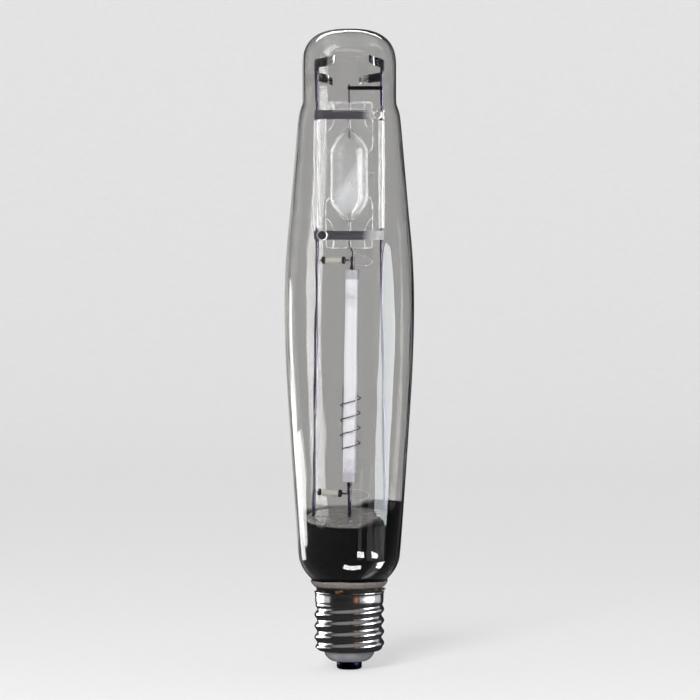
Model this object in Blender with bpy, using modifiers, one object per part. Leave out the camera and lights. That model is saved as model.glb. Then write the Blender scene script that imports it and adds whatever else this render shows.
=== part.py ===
"""Dual-arc grow lamp: a mogul-base discharge bulb with a metal halide arc tube above a high pressure
sodium arc tube, on one wire mount. Metres, +Z up the lamp's axis, origin at the centre contact's face.

The outer glass, base and stem are turned about Z. The mount lies in the XZ plane. The sodium arc tube
floats between two slip joints, each bridged by a hairpin of flexible wire, and grows as it gets hot.
"""

import math

import bmesh
import bpy
from mathutils import Matrix, Vector

MM = 0.001
GAP = 0.3  # between pieces that touch on the real lamp, in millimetres like every size below

# Outer bulb
BULB_TOP_Z = 360.0
BULB_WALL = 1.1
BULB_STEPS = 32
CROWN_R, CROWN_Z, CROWN_POWER = 26.3, 338.0, 2.7  # the straight crown, and its superellipse dome
NECK_R, NECK_BOTTOM_Z = 16.0, 27.0
# (radius, height) of the outer wall from the neck up to the crown
SIDE = [(16.0, 43.6), (17.4, 45.6), (20.5, 49.8), (24.9, 55.0), (27.5, 60.0), (28.7, 66.5),
        (30.4, 89.0), (33.3, 132.0), (35.6, 170.0), (36.45, 203.0), (35.7, 231.0), (33.2, 259.0),
        (29.8, 298.0), (28.7, 309.5), (27.8, 314.0), (26.6, 317.5), (26.3, 321.0), (26.3, 338.0)]

# Base: a mogul screw shell of 39.4 mm over the crests
SHELL_TOP_Z, SHELL_BOTTOM_Z = 43.9, 10.4
THREAD_MID_R, THREAD_DEPTH, THREAD_PITCH = 18.93, 1.55, 6.35
THREAD_TOP_Z, THREAD_BOTTOM_Z = 37.0, 12.4
THREAD_CREST_Z = 33.87  # height of a crest at +X
SHELL_BAND_R, SHELL_BORE_R, SHELL_LIP_R = 19.35, 17.6, 14.7
SHELL_STEPS = 32
CONTACT_R, CONTACT_TOP_Z = 7.1, 4.1
INSULATOR_R = 14.2

# Stem: a flare and a flat press that seals the leads
PRESS_X, PRESS_Y, PRESS_Z = 22.0, 6.0, (50.0, 68.0)
LEAD_X = 5.0  # spacing of the leads in the press

# Heat shield: an inverted shallow pan that sits out of square, its front edge low
SHIELD_Z, SHIELD_TILT = 86.3, 9.0
SHIELD_TOP_R, SHIELD_R, SHIELD_DROP, SHEET = 23.2, 24.7, 1.7, 0.4
RIGHT_PIERCE_X = 22.0
CLIP_START, CLIP_END, CLIP_WIDE, CLIP_SHEET = (-19.4, -1.6), (-14.6, -20.9), 1.5, 0.4
CLIP_TAB_R, CLIP_TAB_DEG, CLIP_TAB_WIDE, CLIP_TAB_TALL = 25.1, -129.0, 5.6, 7.2

# Mount frame
ROD_R = 0.8
ROD_TOP_X, ROD_LOW_X = 18.2, 20.0
ROD_TOP_Z, ROD_BEND_Z, ROD_FOOT_Z = 342.5, 236.0, 93.0
CENTRE_ROD_R = 1.05

# Metal halide arc tube
MH_R, MH_WALL = 10.8, 1.2
MH_TIP_Z, MH_SHOULDER_Z = (251.0, 305.2), (265.5, 290.7)
PINCH_X, PINCH_Y, PINCH_OUT_Z = 26.8, 3.4, (236.7, 318.7)
SLOT_X, SLOT_Y = 4.4, 1.3  # the room for the seal foil in each pinch
TIP_OFF_Z = 278.7
LINK_BAR_Z = 326.8

# Clamp straps round the pinches
CLAMP_Z = (244.2, 311.9)
CLAMP_TALL, EYELET_X, EYELET_R, EYELET_BARREL_R, EYELET_BORE_R = 5.0, 15.3, 2.9, 1.75, 1.4
STRAP_SHEET = 0.4
STRAP_Y, STRAP_END_Y = PINCH_Y / 2 + GAP + STRAP_SHEET / 2, ROD_R + GAP + STRAP_SHEET / 2

# Quartz sleeves on the rods
SLEEVE_R, SLEEVE_BORE_R, SLEEVE_Z = 1.9, 1.15, (248.2, 308.6)

# Sodium arc tube: local Z runs up its own axis, which leans a little to +X
HPS_FOOT, HPS_HEAD = Vector((0.0, 0.0, 105.5)), Vector((1.7, 0.0, 224.7))
HPS_R, HPS_BORE_R, PLUG_LONG = 3.85, 3.05, 5.0
NIOBIUM_R, NIOBIUM_BORE_R, NIOBIUM_OUT, NIOBIUM_IN = 1.35, 0.9, 7.5, 3.6
SLIP_PIN_R = 0.6
COIL_R, COIL_WIRE_R, COIL_PITCH, COIL_TURNS, COIL_FOOT = 5.2, 0.28, 8.4, 3.55, 18.6

# Insulators between the left rod and the sodium tube's ends
INSULATOR_ROD_R, INSULATOR_LONG, CAP_R, CAP_LONG = 1.75, 8.6, 2.1, 2.6
PIN_R = 0.45
UPPER_INSULATOR_Z, LOWER_INSULATOR_Z = 230.2, 99.4

# Dome springs
SPRING_TIP_R, SPRING_TALL, SPRING_SHEET = 24.3, (6.0, 3.8), 0.3
SPRING_TIP_DEG = {(-1, -1): 65.0, (1, -1): 56.0, (-1, 1): 59.0, (1, 1): 70.0}  # by side, and front or back
FRONT_SPRING_Z, BACK_SPRING_Z = (338.2, 342.9), (335.4, 331.0)  # height at the rod, and at the tip


def clear_scene():
    for obj in list(bpy.data.objects):
        bpy.data.objects.remove(obj)


def collection(name):
    made = bpy.data.collections.new(name)
    bpy.context.scene.collection.children.link(made)
    return made


def material(name, colour, roughness, metallic=0.0, transmission=0.0):
    made = bpy.data.materials.new(name)
    made.use_nodes = True
    shader = made.node_tree.nodes["Principled BSDF"]
    shader.inputs["Base Color"].default_value = (*colour, 1.0)
    shader.inputs["Roughness"].default_value = roughness
    shader.inputs["Metallic"].default_value = metallic
    shader.inputs["Transmission Weight"].default_value = transmission
    return made


def add(obj, look=None, into=None):
    """Puts an object in the lamp's collection, or a helper in the cutters'."""
    (into or LAMP).objects.link(obj)
    if look:
        obj.data.materials.append(look)
    if into is CUTTERS:
        obj.hide_render = True
        obj.display_type = "WIRE"
    return obj


def mesh_object(name, points, edges=(), faces=()):
    mesh = bpy.data.meshes.new(name)
    mesh.from_pydata([Vector(p) * MM for p in points], edges, faces)
    return bpy.data.objects.new(name, mesh)


def placed_along(start, end):
    """A matrix whose origin is start and whose Z points to end, with its Y close to the lamp's own."""
    start, end = Vector(start), Vector(end)
    along = (end - start).normalized()
    sideways = Vector((0, 1, 0)) if abs(along.y) < 0.7 else Vector((0, 0, 1))
    across = sideways.cross(along).normalized()
    turn = Matrix((across, along.cross(across), along)).transposed().to_4x4()
    return Matrix.Translation(start * MM) @ turn


def catmull_rom(points, per_span):
    """Points on a smooth curve through the given ones, which are vectors or (radius, height) pairs."""
    points = [Vector(p) for p in points]
    ends = [2 * points[0] - points[1], *points, 2 * points[-1] - points[-2]]
    curve = []
    for i in range(1, len(ends) - 2):
        before, a, b, after = ends[i - 1], ends[i], ends[i + 1], ends[i + 2]
        for k in range(per_span):
            t = k / per_span
            curve.append(0.5 * (2 * a + (b - before) * t
                                + (2 * before - 5 * a + 4 * b - after) * t ** 2
                                + (3 * a - before - 3 * b + after) * t ** 3))
    return [*curve, points[-1]]


def turned(name, profile, look, steps=24, into=None, matrix=None):
    """A solid of revolution about Z. The profile runs down its outer side; one that ends on the axis
    is left open there, and any other is closed back to its first point."""
    points = [(r, 0, z) for r, z in profile]
    edges = [(i, i + 1) for i in range(len(points) - 1)]
    if profile[0][0] > 0 or profile[-1][0] > 0:
        edges.append((len(points) - 1, 0))
    obj = mesh_object(name, points, edges)
    screw = obj.modifiers.new("Turn", "SCREW")
    screw.steps = screw.render_steps = steps
    screw.use_merge_vertices = True
    screw.merge_threshold = 0.000005
    if matrix is not None:
        obj.matrix_world = matrix
    return add(obj, look, into)


def tube(name, outer, inner, low, high, look, steps=16, into=None, matrix=None):
    return turned(name, [(outer, high), (outer, low), (inner, low), (inner, high)], look, steps, into,
                  matrix)


def rod(name, radius, start, end, look, steps=12, into=None):
    """A straight round bar between two points."""
    long = (Vector(end) - Vector(start)).length
    return turned(name, [(0, long), (radius, long), (radius, 0), (0, 0)], look, steps, into,
                  placed_along(start, end))


def wire(name, points, radius, look, sides=2):
    """A wire through the points, as a bevelled curve."""
    curve = bpy.data.curves.new(name, "CURVE")
    curve.dimensions = "3D"
    curve.bevel_depth = radius * MM
    curve.bevel_resolution = sides
    curve.use_fill_caps = True
    spline = curve.splines.new("POLY")
    spline.points.add(len(points) - 1)
    for point, at in zip(spline.points, points):
        point.co = (*(Vector(at) * MM), 1.0)
    return add(bpy.data.objects.new(name, curve), look)


def box(name, low, high, look=None, into=None, bevel=0.0):
    low, high = Vector(low) * MM, Vector(high) * MM
    mesh = bpy.data.meshes.new(name)
    body = bmesh.new()
    bmesh.ops.create_cube(body, size=1.0)
    bmesh.ops.scale(body, vec=high - low, verts=body.verts)
    bmesh.ops.translate(body, vec=(low + high) / 2, verts=body.verts)
    body.to_mesh(mesh)
    body.free()
    obj = add(bpy.data.objects.new(name, mesh), look, into)
    if bevel:
        edge = obj.modifiers.new("Round", "BEVEL")
        edge.width = bevel * MM
        edge.segments = 2
    return obj


def ribbon(name, path, heights, thickness, middle_z, look):
    """A strip of sheet metal that stands on edge along a plan path. Its height and the level of its
    middle run from the first of their pair to the last."""
    points, faces = [], []
    for i, (x, y) in enumerate(path):
        share = i / (len(path) - 1)
        half = (heights[0] + (heights[1] - heights[0]) * share) / 2
        middle = middle_z[0] + (middle_z[1] - middle_z[0]) * share
        points += [(x, y, middle - half), (x, y, middle + half)]
    for i in range(0, len(points) - 2, 2):
        faces.append((i, i + 2, i + 3, i + 1))
    obj = mesh_object(name, points, faces=faces)
    sheet = obj.modifiers.new("Sheet", "SOLIDIFY")
    sheet.thickness = thickness * MM
    sheet.offset = 0.0
    return add(obj, look)


def combine(obj, other, operation):
    step = obj.modifiers.new(operation.title(), "BOOLEAN")
    step.operation = operation
    step.solver = "EXACT"
    step.object = other


def cross_hole(obj, radius, x, y, z, half_long=4.0):
    """Cuts a round hole along Y through a strap."""
    name = f"{obj.name}_hole"
    cutter = rod(name, radius, (x, y - half_long, z), (x, y + half_long, z), None, 20, CUTTERS)
    combine(obj, cutter, "DIFFERENCE")


def upright_hole(obj, radius, x, low, high, tag):
    """Cuts a round hole along Z at y = 0."""
    cutter = rod(f"{obj.name}_{tag}", radius, (x, 0, low), (x, 0, high), None, 12, CUTTERS)
    combine(obj, cutter, "DIFFERENCE")


def bulb_side():
    """The outer wall from the crown down to the neck, and its dome from the axis out to the crown."""
    dome = []
    for k in range(9):
        angle = math.pi / 2 * (1 - k / 9)
        dome.append(Vector((CROWN_R * math.cos(angle) ** (2 / CROWN_POWER) if k else 0.0,
                            CROWN_Z + (BULB_TOP_Z - CROWN_Z) * math.sin(angle) ** (2 / CROWN_POWER))))
    side = catmull_rom(SIDE, 1)
    return [*dome, *reversed(side), Vector((NECK_R, NECK_BOTTOM_Z))]


def moved_in(profile, by):
    """The profile moved inwards, square to itself."""
    moved = []
    for i, point in enumerate(profile):
        along = profile[min(i + 1, len(profile) - 1)] - profile[max(i - 1, 0)]
        inward = Vector((along.y, -along.x)).normalized()
        moved.append(point + inward * by if point.x > 0 else Vector((0.0, point.y - by)))
    return moved


def make_outer_bulb():
    outer = bulb_side()
    inner = moved_in(outer, BULB_WALL)
    inner[-1].y = outer[-1].y
    turned("outer_bulb", [*outer, *reversed(inner)], GLASS, BULB_STEPS)


def shield_matrix():
    return Matrix.Translation((0, 0, SHIELD_Z * MM)) @ Matrix.Rotation(math.radians(SHIELD_TILT), 4, "X")


def make_getter_mirror():
    """The dark metal film inside the neck. Its upper edge is where the heat shield stopped the vapour."""
    wall = [p for p in bulb_side() if 48.0 < p.y < 100.0]
    outer = moved_in(wall, BULB_WALL + GAP)
    inner = moved_in(wall, BULB_WALL + GAP + 0.5)
    film = turned("getter_mirror", [*outer, *reversed(inner)], FILM, BULB_STEPS)
    above = box("getter_mirror_limit", (-40, -40, -0.6), (40, 40, 40), None, CUTTERS)
    above.matrix_world = shield_matrix()
    combine(film, above, "DIFFERENCE")


def make_screw_shell():
    """A shell with a rolled knuckle thread: its outer wall is a straight turned wall that the thread
    wave moves in and out."""
    rings = 20
    outer = [(SHELL_BAND_R + 0.4, SHELL_TOP_Z), (SHELL_BAND_R + 0.35, SHELL_TOP_Z - 0.6),
             (SHELL_BAND_R, SHELL_TOP_Z - 1.2), (SHELL_BAND_R, THREAD_TOP_Z + 0.6)]
    for k in range(rings + 1):
        outer.append((THREAD_MID_R, THREAD_TOP_Z - (THREAD_TOP_Z - THREAD_BOTTOM_Z) * k / rings))
    outer += [(17.9, 11.3), (16.9, SHELL_BOTTOM_Z), (SHELL_LIP_R, SHELL_BOTTOM_Z)]
    inner = [(SHELL_LIP_R, 11.0), (16.6, 11.2), (17.2, 12.4), (17.2, THREAD_TOP_Z),
             (SHELL_BORE_R + 0.9, THREAD_TOP_Z + 1.5), (SHELL_BORE_R + 1.0, SHELL_TOP_Z)]
    profile = [*outer, *inner]
    points, faces = [], []
    for step in range(SHELL_STEPS):
        angle = 2 * math.pi * step / SHELL_STEPS
        for r, z in profile:
            if r == THREAD_MID_R:
                phase = (z - THREAD_CREST_Z) / THREAD_PITCH - angle / (2 * math.pi)
                run_out = min(1.0, (THREAD_TOP_Z - z) / 2.0, (z - THREAD_BOTTOM_Z + 1.0) / 2.0)
                r += THREAD_DEPTH / 2 * math.cos(2 * math.pi * phase) * max(run_out, 0.0)
            points.append((r * math.cos(angle), r * math.sin(angle), z))
    count = len(profile)
    for step in range(SHELL_STEPS):
        here, there = step * count, (step + 1) % SHELL_STEPS * count
        for i in range(count):
            j = (i + 1) % count
            faces.append((here + i, here + j, there + j, there + i))
    add(mesh_object("screw_shell", points, faces=faces), NICKEL)


def make_base():
    turned("centre_contact", [
        (0.9, 17.4), (2.2, 17.4), (2.2, CONTACT_TOP_Z), (CONTACT_R, CONTACT_TOP_Z), (CONTACT_R, 1.2),
        (6.6, 0.45), (5.2, 0.0), (0.0, 0.0), (0.0, 3.0), (0.9, 3.0)], NICKEL, 28)
    turned("base_insulator", [
        (16.2, 15.6), (16.2, 11.5), (INSULATOR_R, 11.3), (INSULATOR_R, 9.6), (13.4, 7.7), (11.9, 6.0),
        (10.2, 4.9), (8.8, 4.5), (2.6, 4.5), (2.6, 16.8), (8.0, 16.8)], VITRITE, 28)
    make_screw_shell()
    cement = turned("base_cement", [
        (20.5, 49.0), (20.9, 48.4), (19.3, 46.6), (18.7, 46.4), (18.5, 44.2), (18.2, 44.0), (18.2, 39.2),
        (16.3, 39.2), (16.3, 43.4), (17.6, 45.2), (19.6, 48.0)], CEMENT, 28)
    notch = box("base_cement_notch", (16.0, -1.9, 38.0), (24.0, 1.9, 46.5), None, CUTTERS)
    combine(cement, notch, "DIFFERENCE")
    solder = bpy.data.meshes.new("side_solder_joint")
    blob = bmesh.new()
    bmesh.ops.create_uvsphere(blob, u_segments=12, v_segments=8, radius=1.25 * MM)
    bmesh.ops.scale(blob, vec=(0.9, 1.3, 0.75), verts=blob.verts)
    blob.to_mesh(solder)
    blob.free()
    joint = add(bpy.data.objects.new("side_solder_joint", solder), SOLDER)
    joint.location = (19.4 * MM, 0, 45.2 * MM)
    wire("contact_lead_wire", [(0, 0, 3.4), (0, 0, 18), (0.4, 1.2, 24), (0.4, 4.4, 31), (0.2, 3.6, 41.5),
                               (0, 1.2, 44.6), (0, 0, 46.4), (0, 0, 57)], 0.4, COPPER, 1)
    wire("shell_lead_wire", [(LEAD_X, 0, 57), (LEAD_X, 0, 42), (LEAD_X + 0.9, 0, 33), (9.0, 0, 27),
                             (13.0, 0, 24.2), (15.6, 0, 23.8), (16.6, 0, 25.2), (16.6, 0, 38),
                             (17.0, 0, 43.4), (17.7, 0, 44.6)], 0.3, COPPER, 1)


def make_stem():
    """The flare, its inner end closed by the press, with three lead holes."""
    wall = 1.2
    outer = catmull_rom([(8.0, 52.0), (8.0, 42.0), (9.6, 34.0), (14.3, NECK_BOTTOM_Z)], 3)
    inner = [p - Vector((wall, 0)) for p in outer[1:]]
    inner[0] = Vector((0.0, PRESS_Z[0] - 3.0))
    flare = turned("stem_flare", [(0.0, 52.0), *outer, *reversed(inner)], STEM_GLASS, 20)
    press = box("stem_press_form", (-PRESS_X / 2, -PRESS_Y / 2, PRESS_Z[0]),
                (PRESS_X / 2, PRESS_Y / 2, PRESS_Z[1]), None, CUTTERS, 1.5)
    combine(flare, press, "UNION")
    for x, tag in ((-LEAD_X, "left"), (0, "middle"), (LEAD_X, "right")):
        upright_hole(flare, CENTRE_ROD_R + GAP, x, 40.0, 70.0, f"{tag}_lead_hole")
    turned("exhaust_tube", [(2.2, 42.5), (2.2, 31.5), (1.4, 28.8), (0.0, 28.2), (0.0, 30.6), (1.2, 32.0),
                            (1.2, 42.5)], STEM_GLASS, 14,
           matrix=Matrix.Translation((-2.4 * MM, 0, 0)))


def make_heat_shield():
    """An inverted pan: flat top, sloping rim, with a hole for each rod."""
    pan = turned("heat_shield", [
        (0, 0), (SHIELD_TOP_R, 0), (SHIELD_R, -SHIELD_DROP + SHEET), (SHIELD_R, -SHIELD_DROP),
        (SHIELD_TOP_R - 0.2, -SHEET), (0, -SHEET)], SHIELD_METAL, 40, matrix=shield_matrix())
    for x, radius, tag in ((-ROD_LOW_X, ROD_R, "left"), (0.0, CENTRE_ROD_R, "middle"),
                           (RIGHT_PIERCE_X, ROD_R, "right")):
        upright_hole(pan, radius + 0.45, x, SHIELD_Z - 6, SHIELD_Z + 6, f"{tag}_hole")
    make_shield_clips()
    tube("getter_ring", 4.0, 2.6, -0.6, 0.6, GETTER, 20,
         matrix=Matrix.Translation((12.5 * MM, -8.0 * MM, 74.0 * MM)) @ Matrix.Rotation(0.5, 4, "Y"))
    ribbon("getter_holder", [(15.6, -3.3), (15.6, -5.0)], (14.6, 14.6), 0.4, (76.0, 76.0), STEEL)


def make_shield_clips():
    """Two strips spot-welded on the pan by the rods: the left one folds down over the front rim in a tab."""
    top = shield_matrix() @ Matrix.Translation((0, 0, GAP * MM))
    start, end = Vector(CLIP_START), Vector(CLIP_END)
    along = (end - start).normalized()
    left = box("shield_clip_left", (0, -CLIP_WIDE / 2, 0), ((end - start).length, CLIP_WIDE / 2, CLIP_SHEET), STEEL)
    left.matrix_world = (top @ Matrix.Translation((start * MM).to_3d())
                         @ Matrix.Rotation(math.atan2(along.y, along.x), 4, "Z"))
    tab = box("shield_clip_tab", (CLIP_TAB_R, -CLIP_TAB_WIDE / 2, -CLIP_TAB_TALL),
              (CLIP_TAB_R + CLIP_SHEET, CLIP_TAB_WIDE / 2, CLIP_SHEET), STEEL, CUTTERS)
    tab.matrix_world = top @ Matrix.Rotation(math.radians(CLIP_TAB_DEG), 4, "Z")
    combine(left, tab, "UNION")
    right = box("shield_clip_right", (15.4, -3.0, 0), (20.2, -1.4, CLIP_SHEET), STEEL)
    right.matrix_world = top @ Matrix.Rotation(math.radians(-8), 4, "Z")


def rod_path(side):
    """One frame rod from the press up to the dome, for side -1 or +1."""
    pierce = ROD_LOW_X if side < 0 else RIGHT_PIERCE_X
    path = [(LEAD_X, 0, 58.0), (LEAD_X, 0, 70.0), (LEAD_X + 1.2, 0, 72.2), (pierce - 1.2, 0, 79.0),
            (pierce, 0, 81.2), (pierce, 0, SHIELD_Z + 1.2)]
    if side > 0:
        path += [(pierce - 0.6, 0, SHIELD_Z + 3.0), (ROD_LOW_X, 0, ROD_FOOT_Z)]
    path += [(ROD_LOW_X - 0.05, 0, ROD_FOOT_Z + 3.0), (ROD_TOP_X, 0, ROD_BEND_Z), (ROD_TOP_X, 0, ROD_TOP_Z)]
    return [(side * x, y, z) for x, y, z in path]


def make_frame():
    wire("left_frame_rod", rod_path(-1), ROD_R, ROD_METAL)
    wire("right_frame_rod", rod_path(1), ROD_R, ROD_METAL)
    pin_top = HPS_FOOT.z - NIOBIUM_OUT + 4.4
    turned("centre_lead_rod", [
        (0, pin_top), (SLIP_PIN_R, pin_top), (SLIP_PIN_R, HPS_FOOT.z - NIOBIUM_OUT - 0.5),
        (CENTRE_ROD_R, HPS_FOOT.z - NIOBIUM_OUT - 0.8), (CENTRE_ROD_R, 58.0), (0, 58.0)], ROD_METAL, 14)
    for side, where in ((-1, "left"), (1, "right")):
        for depth, facing, z in ((-1, "front", FRONT_SPRING_Z), (1, "back", BACK_SPRING_Z)):
            make_dome_spring(f"dome_spring_{where}_{facing}", side, depth, z)
    left, right = spring_path(-1, -1)[-1], spring_path(1, -1)[-1]
    level = FRONT_SPRING_Z[1]
    wire("dome_cross_wire", catmull_rom([
        (left[0] + 0.6, left[1], level + 1.0), ((left[0] + right[0]) / 2, (left[1] + right[1]) / 2 - 0.6, level + 0.4),
        (right[0] - 0.6, right[1], level + 1.0)], 5), 0.2, STEEL, 1)
    box("top_link_bar", (-0.9, -2.0, LINK_BAR_Z - 1.1), (ROD_TOP_X + 0.6, -1.15, LINK_BAR_Z + 1.1),
              ROD_METAL)


def spring_path(side, depth):
    """Plan path of a leaf spring from its rod out to the glass, with its tip curled in."""
    angle = math.radians(SPRING_TIP_DEG[side, depth])
    tip = (SPRING_TIP_R * math.cos(angle), SPRING_TIP_R * math.sin(angle))
    path = [(ROD_TOP_X + 0.1, 1.3), (ROD_TOP_X + 0.9, 6.5), (ROD_TOP_X - 0.9, 13.6), tip,
            (tip[0] - 1.9, tip[1] - 0.4), (tip[0] - 2.7, tip[1] - 1.6)]
    return [(side * p.x, depth * p.y) for p in catmull_rom(path, 2)]


def make_dome_spring(name, side, depth, z):
    ribbon(name, spring_path(side, depth), SPRING_TALL, SPRING_SHEET, z, DARK_STEEL)


def arch(tip, shoulder, radius, lobes=6):
    """(radius, height) points of a blunt cone from its tip on the axis out to its shoulder."""
    points = []
    for k in range(lobes + 1):
        share = k / lobes
        rise = 1 - (1 - math.sin(math.pi / 2 * share)) ** 0.8
        points.append((radius * rise, tip + (shoulder - tip) * share ** 1.25))
    return points


def halide_body(radius, tips, shoulders):
    """Profile of the halide tube from its upper tip down to its lower one."""
    upper = arch(tips[1], shoulders[1], radius)
    lower = arch(tips[0], shoulders[0], radius)
    return [*upper, *reversed(lower)]


def make_halide_tube():
    tube_body = turned("mh_arc_tube", halide_body(MH_R, MH_TIP_Z, MH_SHOULDER_Z), QUARTZ, 28)
    for k, low, high in ((0, PINCH_OUT_Z[0], MH_SHOULDER_Z[0] + 0.8),
                         (1, MH_SHOULDER_Z[1] - 0.8, PINCH_OUT_Z[1])):
        pinch = box(f"mh_pinch_form_{k}", (-PINCH_X / 2, -PINCH_Y / 2, low), (PINCH_X / 2, PINCH_Y / 2, high),
                    None, CUTTERS, 1.3)
        combine(tube_body, pinch, "UNION")
    tip_off = rod("mh_tip_off_form", 1.7, (MH_R - 1.6, 0, TIP_OFF_Z), (MH_R + 2.6, 0, TIP_OFF_Z + 0.3),
                  None, 12, CUTTERS)
    combine(tube_body, tip_off, "UNION")
    cavity = turned("mh_cavity", halide_body(MH_R - MH_WALL, (MH_TIP_Z[0] + 1.6, MH_TIP_Z[1] - 1.6),
                                             (MH_SHOULDER_Z[0] + 0.4, MH_SHOULDER_Z[1] - 0.4)),
                    None, 28, CUTTERS)
    combine(tube_body, cavity, "DIFFERENCE")
    for k, low, high in ((0, 230.0, MH_TIP_Z[0] + 4.0), (1, MH_TIP_Z[1] - 4.0, 325.0)):
        slot = box(f"mh_foil_slot_{k}", (-SLOT_X / 2, -SLOT_Y / 2, low), (SLOT_X / 2, SLOT_Y / 2, high),
                   None, CUTTERS)
        combine(tube_body, slot, "DIFFERENCE")
    make_halide_seal("upper", 1, MH_TIP_Z[1], LINK_BAR_Z + 2.2)
    make_halide_seal("lower", -1, MH_TIP_Z[0], HPS_HEAD.z + NIOBIUM_OUT - 3.6)


def make_halide_seal(where, up, tip, lead_end):
    """Electrode, seal foil and outer lead of one end, in line through its pinch."""
    shank_in, shank_out = tip - up * 7.5, tip + up * 4.1
    coil_in, coil_out = tip - up * 6.6, tip - up * 3.2
    heights = [shank_in, coil_in, coil_in, coil_out, coil_out, shank_out]
    radii = [0.3, 0.3, 0.95, 0.95, 0.3, 0.3]
    profile = [(r, z) for r, z in zip(radii, heights)]
    profile = [(0, shank_in), *profile, (0, shank_out)]
    if up > 0:
        profile.reverse()
    turned(f"mh_{where}_electrode", profile, TUNGSTEN, 12)
    foil = sorted((shank_out + up * GAP, shank_out + up * 5.2))
    box(f"mh_{where}_foil", (-1.5, -0.15, foil[0]), (1.5, 0.15, foil[1]), FOIL)
    lead_start = shank_out + up * 5.5
    lean = HPS_HEAD.x + 0.1 if up < 0 else 0.0
    wire(f"mh_{where}_lead", [(0, 0, lead_start), (0, 0, lead_start + up * 3.2),
                              (lean, 0, lead_start + up * 6.8), (lean, 0, lead_end)], 0.4, DARK_STEEL, 2)


def clamp_path(flip, depth):
    """Plan path of a strap: flat over the pinch, and drawn in to the rods at its ends."""
    path = [(-19.6, STRAP_END_Y), (-17.4, STRAP_END_Y), (-14.6, STRAP_Y), (18.0, STRAP_Y),
            (19.8, STRAP_END_Y)]
    return [(flip * x, depth * y) for x, y in path]


def make_clamp(where, z, flip):
    eyelet_x = flip * EYELET_X
    for depth, facing in ((-1, "front"), (1, "back")):
        name = f"{where}_clamp_{facing}"
        strap = ribbon(name, clamp_path(flip, depth), (CLAMP_TALL, CLAMP_TALL), STRAP_SHEET, (z, z),
                       DARK_STEEL)
        cross_hole(strap, EYELET_BARREL_R + GAP / 2, eyelet_x, depth * STRAP_Y, z, 1.0)
    face = STRAP_Y + STRAP_SHEET / 2 + GAP
    rim = face + 0.45
    turned(f"{where}_clamp_eyelet", [
        (EYELET_BORE_R, rim), (EYELET_R - 0.3, rim), (EYELET_R, face), (EYELET_BARREL_R, face),
        (EYELET_BARREL_R, -face), (EYELET_R, -face), (EYELET_R - 0.3, -rim), (EYELET_BORE_R, -rim)],
        STEEL, 20,
        matrix=Matrix.Translation((eyelet_x * MM, 0, z * MM)) @ Matrix.Rotation(math.pi / 2, 4, "X"))


def make_sleeves():
    for side, where in ((-1, "left"), (1, "right")):
        tube(f"{where}_quartz_sleeve", SLEEVE_R, SLEEVE_BORE_R, *SLEEVE_Z, QUARTZ, 16,
             matrix=Matrix.Translation((side * ROD_TOP_X * MM, 0, 0)))


def make_sodium_tube():
    """The ceramic arc tube with its plugs, leads, electrodes and starting coil, about its own axis."""
    axis = placed_along(HPS_FOOT, HPS_HEAD)
    long = (HPS_HEAD - HPS_FOOT).length
    tube("hps_arc_tube", HPS_R, HPS_BORE_R, 0, long, ALUMINA, 20, matrix=axis)
    for where, flip in (("lower", Matrix.Identity(4)), ("upper", Matrix.Rotation(math.pi, 4, "X"))):
        end = axis @ Matrix.Translation((0, 0, 0 if where == "lower" else long * MM)) @ flip
        tube(f"hps_{where}_plug", HPS_BORE_R - GAP, NIOBIUM_R + 0.25, 0.2, PLUG_LONG, PLUG, 16, matrix=end)
        turned(f"hps_{where}_niobium_tube", [
            (0, NIOBIUM_IN), (NIOBIUM_R, NIOBIUM_IN), (NIOBIUM_R, -NIOBIUM_OUT),
            (NIOBIUM_BORE_R, -NIOBIUM_OUT), (NIOBIUM_BORE_R, -1.5), (0, -1.5)], NIOBIUM, 14, matrix=end)
        turned(f"hps_{where}_electrode", [
            (0, 13.0), (0.4, 13.0), (0.4, 12.0), (1.1, 12.0), (1.1, 7.4), (0.4, 7.4),
            (0.4, NIOBIUM_IN + GAP), (0, NIOBIUM_IN + GAP)], TUNGSTEN, 12, matrix=end)
    helix = []
    steps = 14
    for k in range(int(COIL_TURNS * steps) + 1):
        angle = 2 * math.pi * k / steps - math.radians(150)
        helix.append((COIL_R * math.cos(angle), COIL_R * math.sin(angle), COIL_FOOT + COIL_PITCH * k / steps))
    coil = wire("starting_coil", helix, COIL_WIRE_R, DARK_STEEL, 1)
    coil.matrix_world = axis
    spine = wire("starting_wire", [(-4.4, -0.6, COIL_FOOT - 1.0), (-4.4, -0.6, COIL_FOOT + 36.0)], 0.15,
                 DARK_STEEL, 1)
    spine.matrix_world = axis


def make_flex_loops():
    """A hairpin of thin wire across each slip joint."""
    top = HPS_HEAD.z + NIOBIUM_OUT
    x = HPS_HEAD.x + NIOBIUM_R + GAP + 0.35
    wire("upper_flex_loop", catmull_rom([
        (x - 0.8, 0, top + 2.3), (x + 2.0, -0.5, top + 1.2), (x + 6.0, -1.2, top - 0.3),
        (x + 9.2, -1.0, top - 2.6), (x + 7.0, -0.6, top - 5.0), (x + 2.0, -0.3, top - 4.8),
        (x, 0, top - 4.2)], 3), 0.25, STEEL, 1)
    foot = HPS_FOOT.z - NIOBIUM_OUT
    x = NIOBIUM_R + GAP + 0.35
    wire("lower_flex_loop", catmull_rom([
        (x, 0, foot + 3.2), (x + 2.4, -0.4, foot + 3.4), (x + 7.0, -1.2, foot + 2.4),
        (x + 9.0, -1.4, foot + 0.4), (x + 7.4, -1.2, foot - 2.0), (x + 2.4, -0.4, foot - 2.6),
        (x - 0.3, 0, foot - 2.8)], 3), 0.25, STEEL, 1)


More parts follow.
